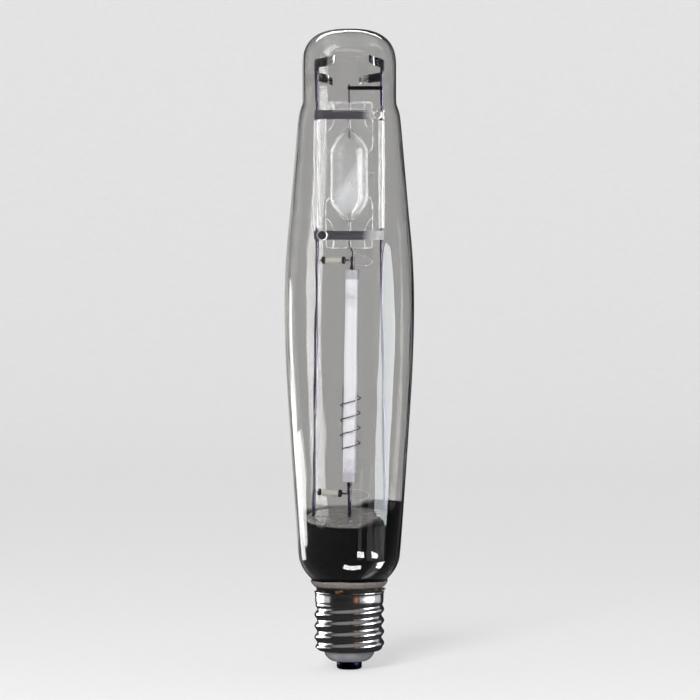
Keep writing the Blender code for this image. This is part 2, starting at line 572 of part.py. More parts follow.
def make_insulator(where, x, z, droop, rod_x, inner_x):
    """A ceramic rod with a metal cap at each end: one pin reaches the left rod, and one the tube's end."""
    middle = Vector((x, 0, z))
    half = Vector((INSULATOR_LONG / 2, 0, -droop / 2))
    axis = placed_along(middle - half, middle + half)
    long = 2 * half.length
    turned(f"{where}_insulator", [(0, long), (INSULATOR_ROD_R, long), (INSULATOR_ROD_R, 0), (0, 0)],
           CERAMIC, 16, matrix=axis)
    left_pin = (middle - half).x - (-rod_x + ROD_R + GAP)
    right_pin = inner_x - NIOBIUM_R - GAP - (middle + half).x
    for end, pin, place in (("left", left_pin, axis @ Matrix.Rotation(math.pi, 4, "X")),
                            ("right", right_pin, axis @ Matrix.Translation((0, 0, long * MM)))):
        turned(f"{where}_insulator_{end}_cap", [
            (0, pin), (PIN_R, pin), (PIN_R, CAP_LONG), (CAP_R - 0.5, CAP_LONG), (CAP_R, CAP_LONG * 0.75),
            (CAP_R, CAP_LONG * 0.3), (CAP_R - 0.3, GAP), (0, GAP)], DARK_STEEL, 16, matrix=place)


def make_mount():
    make_halide_tube()
    make_clamp("lower", CLAMP_Z[0], -1)
    make_clamp("upper", CLAMP_Z[1], 1)
    make_sleeves()
    make_sodium_tube()
    make_flex_loops()
    make_insulator("upper", -8.9, UPPER_INSULATOR_Z, 0.0, 18.3, HPS_HEAD.x)
    make_insulator("lower", -10.8, LOWER_INSULATOR_Z, 0.6, 19.95, 0.0)


clear_scene()
LAMP = collection("grow_lamp")
CUTTERS = collection("cutters")
GLASS = material("bulb_glass", (0.80, 0.81, 0.80), 0.0, transmission=1.0)
QUARTZ = material("quartz", (0.92, 0.93, 0.93), 0.02, transmission=1.0)
STEM_GLASS = material("stem_glass", (0.85, 0.87, 0.86), 0.02, transmission=1.0)
FILM = material("getter_film", (0.02, 0.02, 0.022), 0.08, 0.6)
NICKEL = material("nickel_plate", (0.66, 0.66, 0.68), 0.14, 1.0)
VITRITE = material("white_vitrite", (0.62, 0.65, 0.65), 0.2)
CEMENT = material("base_cement", (0.33, 0.30, 0.28), 0.8)
SOLDER = material("solder", (0.62, 0.50, 0.33), 0.35, 1.0)
COPPER = material("copper_lead", (0.55, 0.33, 0.22), 0.4, 1.0)
SHIELD_METAL = material("shield_steel", (0.42, 0.41, 0.40), 0.25, 1.0)
STEEL = material("bright_steel", (0.72, 0.71, 0.70), 0.25, 1.0)
ROD_METAL = material("molybdenum_rod", (0.24, 0.22, 0.25), 0.3, 1.0)
DARK_STEEL = material("dark_strap_steel", (0.09, 0.085, 0.095), 0.45, 0.9)
GETTER = material("getter_channel", (0.3, 0.3, 0.3), 0.5, 0.8)
TUNGSTEN = material("tungsten", (0.3, 0.3, 0.31), 0.45, 1.0)
FOIL = material("seal_foil", (0.5, 0.5, 0.52), 0.3, 1.0)
ALUMINA = material("alumina", (0.88, 0.87, 0.90), 0.35)
PLUG = material("alumina_plug", (0.70, 0.69, 0.72), 0.5)
NIOBIUM = material("niobium", (0.2, 0.19, 0.2), 0.35, 1.0)
CERAMIC = material("ceramic", (0.66, 0.64, 0.57), 0.6)

make_outer_bulb()
make_getter_mirror()
make_base()
make_stem()
make_heat_shield()
make_frame()
make_mount()
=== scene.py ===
"""Looks for the dual-arc grow lamp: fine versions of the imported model's pieces, with node materials.

Lengths are in millimetres in the lamp's own frame and become metres in the mesh helpers. +Z runs up the
lamp, the wire mount lies in the XZ plane, and the camera looks along +Y.
"""

import math

import bmesh
import bpy
from mathutils import Matrix, Vector


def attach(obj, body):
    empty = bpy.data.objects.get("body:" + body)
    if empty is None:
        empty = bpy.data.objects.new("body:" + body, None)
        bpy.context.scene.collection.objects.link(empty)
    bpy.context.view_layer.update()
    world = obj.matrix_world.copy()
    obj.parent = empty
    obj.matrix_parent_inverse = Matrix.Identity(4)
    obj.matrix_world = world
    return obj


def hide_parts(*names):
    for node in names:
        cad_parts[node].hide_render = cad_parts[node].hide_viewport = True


MM = 0.001

# Camera: far off on a long lens, nearly level, a little above the middle of the lamp
VIEW_HEIGHT, VIEW_MIDDLE_Z, VIEW_X = 393.75, 179.7, 0.4
LENS, SENSOR = 200.0, 36.0
CAMERA_FAR = VIEW_HEIGHT * LENS / SENSOR
CAMERA_RISE_DEG = 1.3

# Outer bulb
BULB_TOP_Z, BULB_WALL = 360.0, 1.1
CROWN_R, CROWN_Z, CROWN_POWER = 26.3, 338.0, 2.7
NECK_R, NECK_BOTTOM_Z = 16.0, 27.0
SIDE = [(16.0, 43.6), (17.4, 45.6), (20.5, 49.8), (24.9, 55.0), (27.5, 60.0), (28.7, 66.5),
        (30.4, 89.0), (33.3, 132.0), (35.6, 170.0), (36.45, 203.0), (35.7, 231.0), (33.2, 259.0),
        (29.8, 298.0), (28.7, 309.5), (27.8, 314.0), (26.6, 317.5), (26.3, 321.0), (26.3, 338.0)]

# Base
SHELL_TOP_Z, SHELL_BOTTOM_Z = 43.9, 10.4
THREAD_MID_R, THREAD_DEPTH, THREAD_PITCH = 18.93, 1.55, 6.35
THREAD_TOP_Z, THREAD_BOTTOM_Z, THREAD_CREST_Z = 37.0, 12.4, 33.87

# Heat shield
SHIELD_Z, SHIELD_TILT = 86.3, 9.0
SHIELD_TOP_R, SHIELD_R, SHIELD_DROP, SHEET = 23.2, 24.7, 1.7, 0.4
RIGHT_PIERCE_X = 22.0
CLIP_START, CLIP_END, CLIP_WIDE, CLIP_SHEET = (-19.4, -1.6), (-14.6, -20.9), 1.5, 0.4
CLIP_TAB_R, CLIP_TAB_DEG, CLIP_TAB_WIDE, CLIP_TAB_TALL = 25.1, -129.0, 5.6, 7.2

# Mount frame
LEAD_X = 5.0
ROD_R, ROD_TOP_X, ROD_LOW_X = 0.8, 18.2, 20.0
ROD_TOP_Z, ROD_BEND_Z, ROD_FOOT_Z = 342.5, 236.0, 93.0
CENTRE_ROD_R = 1.05

# Metal halide arc tube
MH_R, MH_WALL = 10.8, 1.2
MH_TIP_Z, MH_SHOULDER_Z = (251.0, 305.2), (265.5, 290.7)
PINCH_HALF_X, PINCH_Y, PINCH_OUT_Z = 13.3, 2.4, (236.7, 318.7)
TIP_OFF_Z = 278.7
LINK_BAR_Z = 326.8

# Clamp straps
CLAMP_Z, CLAMP_TALL = (244.2, 311.9), 5.0
EYELET_X, EYELET_R, EYELET_BARREL_R, EYELET_BORE_R = 15.3, 2.9, 1.75, 1.4
STRAP_SHEET, STRAP_Y, STRAP_END_Y = 0.4, 2.2, 1.3

# The radius that rods and straps are bent to
BEND_R = 1.2

# Quartz sleeves
SLEEVE_R, SLEEVE_BORE_R, SLEEVE_Z = 1.9, 1.15, (248.2, 308.6)

# Sodium arc tube
HPS_FOOT, HPS_HEAD = Vector((0.0, 0.0, 105.5)), Vector((1.7, 0.0, 224.7))
HPS_R, HPS_BORE_R, PLUG_LONG = 3.85, 3.05, 5.0
NIOBIUM_R, NIOBIUM_BORE_R, NIOBIUM_OUT = 1.35, 0.9, 7.5
SLIP_PIN_R = 0.6
COIL_R, COIL_WIRE_R, COIL_PITCH, COIL_TURNS, COIL_FOOT = 5.2, 0.28, 8.4, 3.55, 18.6

# Insulators
INSULATOR_ROD_R, INSULATOR_LONG, CAP_R, CAP_LONG, PIN_R, GAP = 1.75, 8.6, 2.1, 2.6, 0.45, 0.3
UPPER_INSULATOR_Z, LOWER_INSULATOR_Z = 230.2, 99.4

# Dome springs
SPRING_TIP_R, SPRING_TALL = 24.3, (6.0, 3.8)
SPRING_TIP_DEG = {(-1, -1): 65.0, (1, -1): 56.0, (-1, 1): 59.0, (1, 1): 70.0}  # by side, and front or back
FRONT_SPRING_Z, BACK_SPRING_Z = (338.2, 342.9), (335.4, 331.0)

LAMP_BODY, TUBE_BODY = "lamp", "sodium_tube"

BACK_WALL_CARD = 30.0    # the radiance of the card on the right as the far wall of the bulb mirrors it
PAPER_GLOW = 0.40


# ---------------------------------------------------------------- materials


class Look:
    """A node material being built: its shader, and short ways to add the nodes that feed it."""

    def __init__(self, name, colour, roughness, metallic=0.0):
        self.material = bpy.data.materials.new(name)
        self.material.use_nodes = True
        self.nodes = self.material.node_tree.nodes
        self.links = self.material.node_tree.links
        self.shader = self.nodes["Principled BSDF"]
        self.output = self.nodes["Material Output"]
        self.set("Base Color", (*colour, 1.0))
        self.set("Roughness", roughness)
        self.set("Metallic", metallic)
        self.place = self.nodes.new("ShaderNodeTexCoord").outputs["Object"]

    def set(self, socket, value):
        self.shader.inputs[socket].default_value = value

    def link(self, source, target):
        self.links.new(source, target)

    def feed(self, socket, source):
        """Drive one of the shader's inputs."""
        self.link(source, self.shader.inputs[socket])

    def vector_maths(self, operation, first, second=None):
        node = self.nodes.new("ShaderNodeVectorMath")
        node.operation = operation
        self.link(first, node.inputs[0])
        if second is not None:
            node.inputs[1].default_value = second
        return node.outputs["Value" if operation == "LENGTH" else "Vector"]

    def mix_shaders(self, fac, first, second):
        """The material's surface: the first shader where the factor is 0, and the second where it is 1."""
        mix = self.nodes.new("ShaderNodeMixShader")
        self.link(fac, mix.inputs["Fac"])
        self.link(first, mix.inputs[1])
        self.link(second, mix.inputs[2])
        self.link(mix.outputs["Shader"], self.output.inputs["Surface"])

    def stretched(self, scale):
        """The object's coordinates, scaled along each axis."""
        node = self.nodes.new("ShaderNodeMapping")
        node.inputs["Scale"].default_value = scale
        self.link(self.place, node.inputs["Vector"])
        return node.outputs["Vector"]

    def noise(self, scale, detail=3.0, stretch=(1, 1, 1), roughness=0.5):
        node = self.nodes.new("ShaderNodeTexNoise")
        node.inputs["Scale"].default_value = scale
        node.inputs["Detail"].default_value = detail
        node.inputs["Roughness"].default_value = roughness
        self.link(self.stretched(stretch), node.inputs["Vector"])
        return node.outputs["Fac"]

    def ramp(self, source, stops):
        """A colour ramp. Each stop is (place, grey) or (place, (r, g, b))."""
        node = self.nodes.new("ShaderNodeValToRGB")
        band = node.color_ramp
        while len(band.elements) < len(stops):
            band.elements.new(0.5)
        for element, (at, value) in zip(band.elements, stops):
            element.position = at
            element.color = (value, value, value, 1) if isinstance(value, float) else (*value, 1)
        self.link(source, node.inputs["Fac"])
        return node.outputs["Color"]

    def clouded(self, cloud, dark, pale):
        """A colour that goes from dark to pale with a noise."""
        return self.ramp(cloud, [(0.3, dark), (0.7, pale)])

    def uneven_polish(self, cloud, low, high):
        self.feed("Roughness", self.spread(cloud, 0.3, 0.7, low, high))

    def spread(self, source, low, high, to_low=0.0, to_high=1.0):
        node = self.nodes.new("ShaderNodeMapRange")
        node.inputs["From Min"].default_value = low
        node.inputs["From Max"].default_value = high
        node.inputs["To Min"].default_value = to_low
        node.inputs["To Max"].default_value = to_high
        self.link(source, node.inputs["Value"])
        return node.outputs["Result"]

    def maths(self, operation, first, second):
        node = self.nodes.new("ShaderNodeMath")
        node.operation = operation
        for socket, value in zip(node.inputs, (first, second)):
            if isinstance(value, (int, float)):
                socket.default_value = value
            else:
                self.link(value, socket)
        return node.outputs["Value"]

    def mixed(self, fac, first, second):
        """Two colours mixed by a factor."""
        node = self.nodes.new("ShaderNodeMix")
        node.data_type = "RGBA"
        for name, value in (("Factor", fac), ("A", first), ("B", second)):
            socket = next(s for s in node.inputs if s.name == name and s.enabled)
            if isinstance(value, tuple):
                socket.default_value = (*value, 1.0)
            elif isinstance(value, float):
                socket.default_value = value
            else:
                self.link(value, socket)
        return next(s for s in node.outputs if s.enabled)

    def axis(self, name):
        """One coordinate of the object, in metres."""
        node = self.nodes.new("ShaderNodeSeparateXYZ")
        self.link(self.place, node.inputs["Vector"])
        return node.outputs[name]

    def bump(self, height, strength, distance):
        node = self.nodes.new("ShaderNodeBump")
        node.inputs["Strength"].default_value = strength
        node.inputs["Distance"].default_value = distance
        self.link(height, node.inputs["Height"])
        self.link(node.outputs["Normal"], self.shader.inputs["Normal"])

    def lets_light_in(self):
        """Glass that light passes on its way to what is inside, as a thin clear wall lets it."""
        path = self.nodes.new("ShaderNodeLightPath")
        either = self.maths("MAXIMUM", path.outputs["Is Shadow Ray"], path.outputs["Is Diffuse Ray"])
        clear = self.nodes.new("ShaderNodeBsdfTransparent")
        self.mix_shaders(either, self.shader.outputs["BSDF"], clear.outputs["BSDF"])

    def fades(self, cover):
        """The shader shows by the cover factor, and what is behind shows through the rest."""
        clear = self.nodes.new("ShaderNodeBsdfTransparent")
        self.mix_shaders(cover, clear.outputs["BSDF"], self.shader.outputs["BSDF"])


def glass_look(name, tint, ior, wave=0.0, streaks=0.0):
    look = Look(name, tint, 0.0)
    look.set("Transmission Weight", 1.0)
    look.set("IOR", ior)
    if wave:
        slow, streaky = look.noise(30.0, 2.0, (1, 1, 0.35)), look.noise(95.0, 2.0, (1, 1, 0.10))
        look.bump(look.maths("ADD", slow, look.maths("MULTIPLY", streaky, streaks)), wave, 0.002)
    look.lets_light_in()
    return look.material


def bulb_glass():
    """Blown hard glass with a slow waviness that bends its reflections. Its grey tint, far darker than clear
    glass, is painted shade over everything seen through the bulb.
    """
    # Painted shade: the dark grey tint dims the view through the bulb, not the light that reaches inside.
    return glass_look("bulb_glass_fine", (0.675, 0.672, 0.664), 1.47, 0.32, 0.6)


def quartz():
    return glass_look("quartz_fine", (0.97, 0.975, 0.975), 1.458, 0.10, 0.4)


def quartz_edge_highlight():
    """The flash line left where the hot quartz was pressed, made whitish and flecked with glints: a painted
    highlight for the bright edges of the pinch.
    """
    look = Look("quartz_edge_highlight", (0.80, 0.81, 0.83), 0.25)
    # Painted glints: the noise makes flecks near white and more opaque.
    glints = look.noise(330.0, 3.0)
    look.feed("Base Color", look.ramp(glints, [(0.35, (0.62, 0.63, 0.66)), (0.6, (0.96, 0.97, 1.0))]))
    look.fades(look.spread(glints, 0.35, 0.6, 0.5, 1.0))
    return look.material


def stem_glass():
    return glass_look("stem_glass_fine", (0.90, 0.92, 0.91), 1.5)


def deposit():
    """White haze of evaporated salts on the inside of the halide tube: dense below a slanting line and
    towards one side, with a yellow-green pool in the lower tip."""
    look = Look("salt_haze", (0.86, 0.87, 0.90), 0.6)
    x, z = look.axis("X"), look.axis("Z")
    slant = look.maths("ADD", z, look.maths("MULTIPLY", x, -1.35))
    blotch = look.noise(210.0, 4.0, (1, 1, 0.7), 0.6)
    edge = look.maths("ADD", slant, look.maths("MULTIPLY", look.maths("SUBTRACT", blotch, 0.5), 0.012))
    haze = look.spread(edge, 0.2815, 0.2735, 0.04, 0.32)
    patchy = look.maths("MULTIPLY", haze, look.spread(blotch, 0.25, 0.75, 0.7, 1.15))
    tip = look.spread(z, 0.2625, 0.2535, 0.0, 0.85)
    cover = look.maths("MINIMUM", look.maths("MAXIMUM", patchy, look.maths("MULTIPLY", tip, blotch)), 0.9)
    pool = look.spread(z, 0.2575, 0.2535)
    tint = look.mixed(look.maths("MULTIPLY", pool, look.spread(blotch, 0.35, 0.6)), (0.86, 0.87, 0.90),
                      (0.62, 0.66, 0.16))
    look.feed("Base Color", tint)
    look.fades(cover)
    return look.material


def getter_film():
    """Black metal film, a near mirror, thinning to smoke at its upper edge."""
    look = Look("getter_film_fine", (0.002, 0.002, 0.0025), 0.05)
    look.set("IOR", 1.4)
    look.set("Specular IOR Level", 0.05)
    cloud = look.noise(60.0, 4.0)
    look.uneven_polish(cloud, 0.04, 0.10)
    right = look.spread(look.axis("X"), 0.004, 0.026, 0.0, 0.009)
    height = look.maths("SUBTRACT", look.axis("Z"), right)
    tilted = look.maths("SUBTRACT", height, look.maths("MULTIPLY", look.axis("Y"), 0.158))
    edge = look.maths("ADD", tilted, look.maths("MULTIPLY", look.maths("SUBTRACT", cloud, 0.5), 0.004))
    look.fades(look.spread(edge, 0.0868, 0.0835))
    return look.material


def nickel():
    """Bright plate over brass, with faint handling marks and a little brass showing."""
    look = Look("nickel_fine", (0.74, 0.73, 0.73), 0.12, 1.0)
    grime = look.noise(240.0, 5.0, (1, 1, 2.5), 0.65)
    look.feed("Roughness", look.spread(grime, 0.35, 0.75, 0.15, 0.25))
    wear = look.noise(420.0, 4.0)
    plate, brass = [(0.0, (0.76, 0.75, 0.75)), (0.6, (0.72, 0.71, 0.72))], (0.78, (0.60, 0.50, 0.40))
    look.feed("Base Color", look.ramp(wear, [*plate, brass]))
    look.bump(look.noise(300.0, 2.0, (1, 1, 2)), 0.03, 0.0004)
    return look.material


def contact_metal():
    """The contact eyelet: a dark blued face, darker still towards its bottom edge."""
    look = Look("contact_metal_fine", (0.05, 0.06, 0.12), 0.2, 1.0)
    z = look.axis("Z")
    wear_and_highlight = look.noise(500.0, 4.0)
    # Darker towards the bottom: the colour drops over the lowest 1 to 2 mm.
    low = look.spread(look.maths("ADD", z, look.maths("MULTIPLY", wear_and_highlight, 0.0008)), 0.0019, 0.0009)
    look.feed("Base Color", look.mixed(low, (0.006, 0.007, 0.025), (0.03, 0.032, 0.055)))
    look.uneven_polish(wear_and_highlight, 0.12, 0.32)
    look.bump(wear_and_highlight, 0.08, 0.0004)
    return look.material


def mottled(name, roughness, scale, low, high, strength, distance=0.0003):
    """A plain hard material whose colour clouds between two."""
    look = Look(name, high, roughness)
    cloud = look.noise(scale, 4.0)
    look.feed("Base Color", look.clouded(cloud, low, high))
    look.bump(cloud, strength, distance)
    return look.material


def vitrite():
    """Grey-white moulded glass, glossy, a little cloudy."""
    return mottled("vitrite_fine", 0.1, 160.0, (0.145, 0.147, 0.16), (0.215, 0.217, 0.235), 0.12, 0.0006)


def cement():
    """Baked basing cement: gritty and grey-brown, with brown flecks near the metal, and painted near black
    low down, as shade in the recess where it goes into the shell.
    """
    look = Look("cement_fine", (0.2, 0.18, 0.17), 0.85)
    grain = look.noise(900.0, 6.0, (1, 1, 1), 0.7)
    patch = look.noise(160.0, 3.0, (1, 1, 2))
    z = look.axis("Z")
    stone = look.ramp(grain, [(0.25, (0.08, 0.07, 0.062)), (0.55, (0.17, 0.147, 0.135)),
                              (0.8, (0.38, 0.34, 0.32))])
    # Brown flecks, in patches, low on the ring near the shell.
    brown_flecks = look.maths("MULTIPLY", look.spread(z, 0.0472, 0.0455), look.spread(patch, 0.58, 0.66))
    # Painted shade: below this height, down in the recess at the shell's rim, the cement is near black.
    recess_shade = look.spread(z, 0.0472, 0.0462)
    shaded = look.mixed(recess_shade, stone, (0.006, 0.005, 0.005))
    look.feed("Base Color", look.mixed(brown_flecks, shaded, (0.16, 0.085, 0.03)))
    look.bump(look.maths("ADD", grain, patch), 0.7, 0.0006)
    return look.material


def metal(name, colour, roughness, scale, spread=0.12, scratch=0.06, metallic=1.0):
    """Plain metal, its colour and polish a little uneven."""
    look = Look(name, colour, roughness, metallic)
    cloud = look.noise(scale, 4.0)
    darker = tuple(c * 0.72 for c in colour)
    look.feed("Base Color", look.clouded(cloud, darker, colour))
    low, high = max(roughness - spread / 2, 0.03), roughness + spread
    look.uneven_polish(cloud, low, high)
    look.bump(look.noise(scale * 2.5, 3.0), scratch, 0.0003)
    return look.material


def spring_metal():
    """Dark blued spring strip, with a painted highlight on its curled tip."""
    look = Look("spring_metal_fine", (0.08, 0.075, 0.085), 0.26, 1.0)
    cloud = look.noise(400.0, 4.0, (1, 1, 3))
    outward = look.maths("ABSOLUTE", look.axis("Y"), 0.0)
    # Painted highlight: the curled tips, far out to front and back, are coloured near white.
    painted_highlight = look.spread(look.maths("ADD", outward, look.maths("MULTIPLY", cloud, 0.001)), 0.0205, 0.0215)
    dark = look.clouded(cloud, (0.06, 0.055, 0.065), (0.11, 0.105, 0.12))
    look.feed("Base Color", look.mixed(painted_highlight, dark, (0.85, 0.85, 0.86)))
    look.uneven_polish(cloud, 0.2, 0.36)
    look.bump(cloud, 0.1, 0.0003)
    return look.material


def rivet_metal():
    """A dark rivet whose head has a painted highlight round its rim."""
    look = Look("rivet_metal_fine", (0.06, 0.055, 0.065), 0.3, 0.7)
    from_middle = look.vector_maths("SUBTRACT", look.place, (-EYELET_X * MM, 0.0, CLAMP_Z[0] * MM))
    radius = look.vector_maths("LENGTH", look.vector_maths("MULTIPLY", from_middle, (1.0, 0.0, 1.0)))
    # Painted highlight: a near-white ring round the head.
    rim = look.spread(radius, 0.0024, 0.0026)
    look.feed("Base Color", look.mixed(rim, (0.07, 0.065, 0.075), (0.85, 0.84, 0.84)))
    look.bump(look.noise(700.0, 3.0), 0.1, 0.0003)
    return look.material


def rod_metal():
    """Drawn molybdenum: violet-grey and polished, and painted pale where the quartz sleeves cover it, a
    painted highlight that makes the sleeves look lit.
    """
    look = Look("rod_metal_fine", (0.24, 0.20, 0.30), 0.12, 1.0)
    z = look.axis("Z")
    drawn = look.noise(500.0, 4.0, (1, 1, 0.2))
    # Painted highlight: pale only inside the sleeves.
    covered = look.maths("MULTIPLY", look.spread(z, 0.2475, 0.249), look.spread(z, 0.3095, 0.308))
    bare = look.clouded(drawn, (0.085, 0.075, 0.115), (0.145, 0.13, 0.18))
    look.feed("Base Color", look.mixed(covered, bare, (0.66, 0.65, 0.66)))
    look.uneven_polish(drawn, 0.10, 0.22)
    look.bump(look.noise(1200.0, 3.0, (1, 1, 0.2)), 0.05, 0.0003)
    return look.material


def shield_metal():
    """Satin rolled sheet, with fine scratches and patches of brown heat tint."""
    look = Look("shield_metal_fine", (0.70, 0.69, 0.68), 0.2, 0.8)
    scratches = look.noise(500.0, 5.0, (0.25, 3.0, 1), 0.7)
    stain = look.noise(90.0, 4.0)
    sheet = look.ramp(stain, [(0.35, (0.74, 0.73, 0.72)), (0.6, (0.64, 0.62, 0.60)),
                              (0.8, (0.46, 0.38, 0.30))])
    look.feed("Base Color", sheet)
    look.uneven_polish(scratches, 0.14, 0.34)
    look.bump(scratches, 0.10, 0.0003)
    return look.material


def strap_metal():
    """Dark oxidised nickel strip, brushed along its length, with a painted highlight towards its right-hand
    end, held back by the upper strap's eyelet.
    """
    look = Look("strap_metal_fine", (0.05, 0.045, 0.055), 0.36, 0.6)
    brushed = look.noise(900.0, 4.0, (0.12, 1, 2.5), 0.6)
    oxide = look.clouded(brushed, (0.065, 0.06, 0.075), (0.15, 0.14, 0.165))
    x = look.axis("X")
    # Painted highlight: near white towards the right-hand end, where the light from the right falls.
    painted_highlight = look.spread(look.maths("ADD", x, look.maths("MULTIPLY", brushed, 0.004)), 0.009, 0.0145)
    upper_end = look.maths("MULTIPLY", look.spread(look.axis("Z"), 0.27, 0.28),
                           look.spread(x, 0.0135, 0.0155, 0.0, 0.85))
    wear_and_highlight = look.maths("MULTIPLY", painted_highlight, look.maths("SUBTRACT", 1.0, upper_end))
    look.feed("Base Color", look.mixed(wear_and_highlight, oxide, (0.80, 0.79, 0.80)))
    look.uneven_polish(brushed, 0.26, 0.42)
    look.bump(brushed, 0.12, 0.0003)
    return look.material


def alumina():
    """Sintered alumina: white, faintly violet, glowing with light from within, greyed round its plugs, and
    with painted shade where the electrodes inside show dark through it."""
    look = Look("alumina_fine", (0.90, 0.89, 0.93), 0.38)
    z = look.axis("Z")
    mottle = look.noise(320.0, 4.0)
    ends = look.maths("MAXIMUM", look.spread(z, 0.1112, 0.1104), look.spread(z, 0.2190, 0.2198))
    # Painted shade of the electrodes inside: darker round the upper tip and towards the lower end.
    from_spot = look.maths("ABSOLUTE", look.maths("SUBTRACT", z, 0.2095), 0.0)
    upper, lower = look.spread(from_spot, 0.0, 0.007, 1.0, 0.0), look.spread(z, 0.1255, 0.1125)
    patchy = look.spread(mottle, 0.3, 0.75, 0.25, 0.75)
    dark = look.maths("MULTIPLY", look.maths("MAXIMUM", upper, lower), patchy)
    clean = look.mixed(dark, (0.88, 0.87, 0.95), (0.36, 0.33, 0.39))
    look.feed("Base Color", look.mixed(ends, clean, (0.47, 0.45, 0.51)))
    look.set("Subsurface Weight", 0.6)
    look.set("Subsurface Radius", (0.003, 0.003, 0.003))
    look.set("Subsurface Scale", 1.0)
    look.bump(look.noise(1200.0, 3.0), 0.08, 0.0002)
    return look.material


def ceramic():
    """Cream unglazed steatite."""
    return mottled("ceramic_fine", 0.6, 700.0, (0.40, 0.39, 0.345), (0.50, 0.485, 0.44), 0.2)


def end_plug():
    """Greyer alumina of the end plugs, with glassy frit."""
    return mottled("plug_fine", 0.4, 600.0, (0.40, 0.38, 0.42), (0.56, 0.54, 0.58), 0.15)


def card_seen_from_inside(look):
    """1 where the tall card on the right stands, seen from the lamp: the far wall of the bulb mirrors it."""
    split = look.nodes.new("ShaderNodeSeparateXYZ")
    look.link(look.vector_maths("NORMALIZE", look.place), split.inputs[0])
    to_right, to_back, up = (split.outputs[axis] for axis in "XYZ")
    wide = look.maths("MULTIPLY", look.spread(to_back, -0.02, -0.10), look.spread(to_back, -0.62, -0.54))
    tall = look.maths("MULTIPLY", look.spread(up, 0.60, 0.45), look.spread(to_right, 0.2, 0.4))
    return look.maths("MULTIPLY", wide, tall)


def floor_look():
    """Plain pale studio paper that gives back a little light of its own, so it stays even. In reflections it
    is the unlit side of a studio: dark, but paler close to the lamp and high up. Metal inside the bulb sees
    more of it, and the edges of the quartz, which gather light from all round, see it brightest."""
    look = Look("studio_paper", (0.50, 0.50, 0.50), 0.9)
    fibre = look.noise(120.0, 4.0)
    look.feed("Base Color", look.clouded(fibre, (0.49, 0.49, 0.49), (0.51, 0.51, 0.51)))
    look.set("Emission Color", (1.0, 1.0, 1.0, 1.0))
    look.set("Emission Strength", PAPER_GLOW)
    look.set("Specular IOR Level", 0.0)
    path = look.nodes.new("ShaderNodeLightPath")
    near = look.spread(look.vector_maths("LENGTH", look.place), 0.32, 0.06, 0.012, 0.03)
    high = look.ramp(look.maths("DIVIDE", look.axis("Z"), 4.0), [(0.25, 0.010), (0.45, 0.03), (1.0, 0.04)])
    outside = look.maths("MAXIMUM", near, high)
    deep = path.outputs["Transmission Depth"]
    lit_side = look.spread(look.axis("X"), 0.6, -0.6, 0.25, 1.5)
    inside = look.maths("MULTIPLY", look.spread(deep, 0.0, 1.0, 0.0, 0.28), lit_side)
    in_quartz = look.spread(deep, 5.0, 6.0, 0.0, 2.0)
    from_back_wall = look.spread(deep, 3.0, 4.0, 0.0, BACK_WALL_CARD)
    card = look.maths("MULTIPLY", from_back_wall, card_seen_from_inside(look))
    level = look.maths("ADD", look.maths("MAXIMUM", outside, inside), look.maths("MAXIMUM", in_quartz, card))
    unlit = look.nodes.new("ShaderNodeEmission")
    look.link(level, unlit.inputs["Strength"])
    mirrored = look.maths("MINIMUM", path.outputs["Glossy Depth"], 1.0)
    look.mix_shaders(mirrored, look.shader.outputs["BSDF"], unlit.outputs["Emission"])
    return look.material


# ---------------------------------------------------------------- shapes


# A point of a turned profile lies on the axis below this radius.
ON_AXIS = 1e-6


def finished(obj, look, angle=40.0):
    """Smooth shading with crisp edges where faces meet at more than the angle."""
    bpy.context.scene.collection.objects.link(obj)
    obj.data.materials.append(look)
    if obj.type == "MESH":
        obj.data.shade_smooth()
        obj.data.set_sharp_from_angle(angle=math.radians(angle))
    return obj


def mesh_of(name, points, faces):
    mesh = bpy.data.meshes.new(name)
    mesh.from_pydata([Vector(p) * MM for p in points], [], faces)
    mesh.update()
    return mesh


def facing_out(mesh):
    """The mesh's faces turned to face out."""
    body = bmesh.new()
    body.from_mesh(mesh)
    bmesh.ops.recalc_face_normals(body, faces=body.faces)
    body.to_mesh(mesh)
    body.free()
    return mesh


def placed_along(start, end):
    """A matrix whose origin is start and whose Z points to end, with its Y close to the lamp's own."""
    start, end = Vector(start), Vector(end)
    along = (end - start).normalized()
    sideways = Vector((0, 1, 0)) if abs(along.y) < 0.7 else Vector((0, 0, 1))
    across = sideways.cross(along).normalized()
    turn = Matrix((across, along.cross(across), along)).transposed().to_4x4()
    return Matrix.Translation(start * MM) @ turn


def catmull_rom(points, per_span):
    """Points on a smooth curve through the given ones, which are vectors or (radius, height) pairs."""
    points = [Vector(p) for p in points]
    ends = [2 * points[0] - points[1], *points, 2 * points[-1] - points[-2]]
    curve = []
    for i in range(1, len(ends) - 2):
        before, a, b, after = ends[i - 1], ends[i], ends[i + 1], ends[i + 2]
        for k in range(per_span):
            t = k / per_span
            curve.append(0.5 * (2 * a + (b - before) * t
                                + (2 * before - 5 * a + 4 * b - after) * t ** 2
                                + (3 * a - before - 3 * b + after) * t ** 3))
    return [*curve, points[-1]]


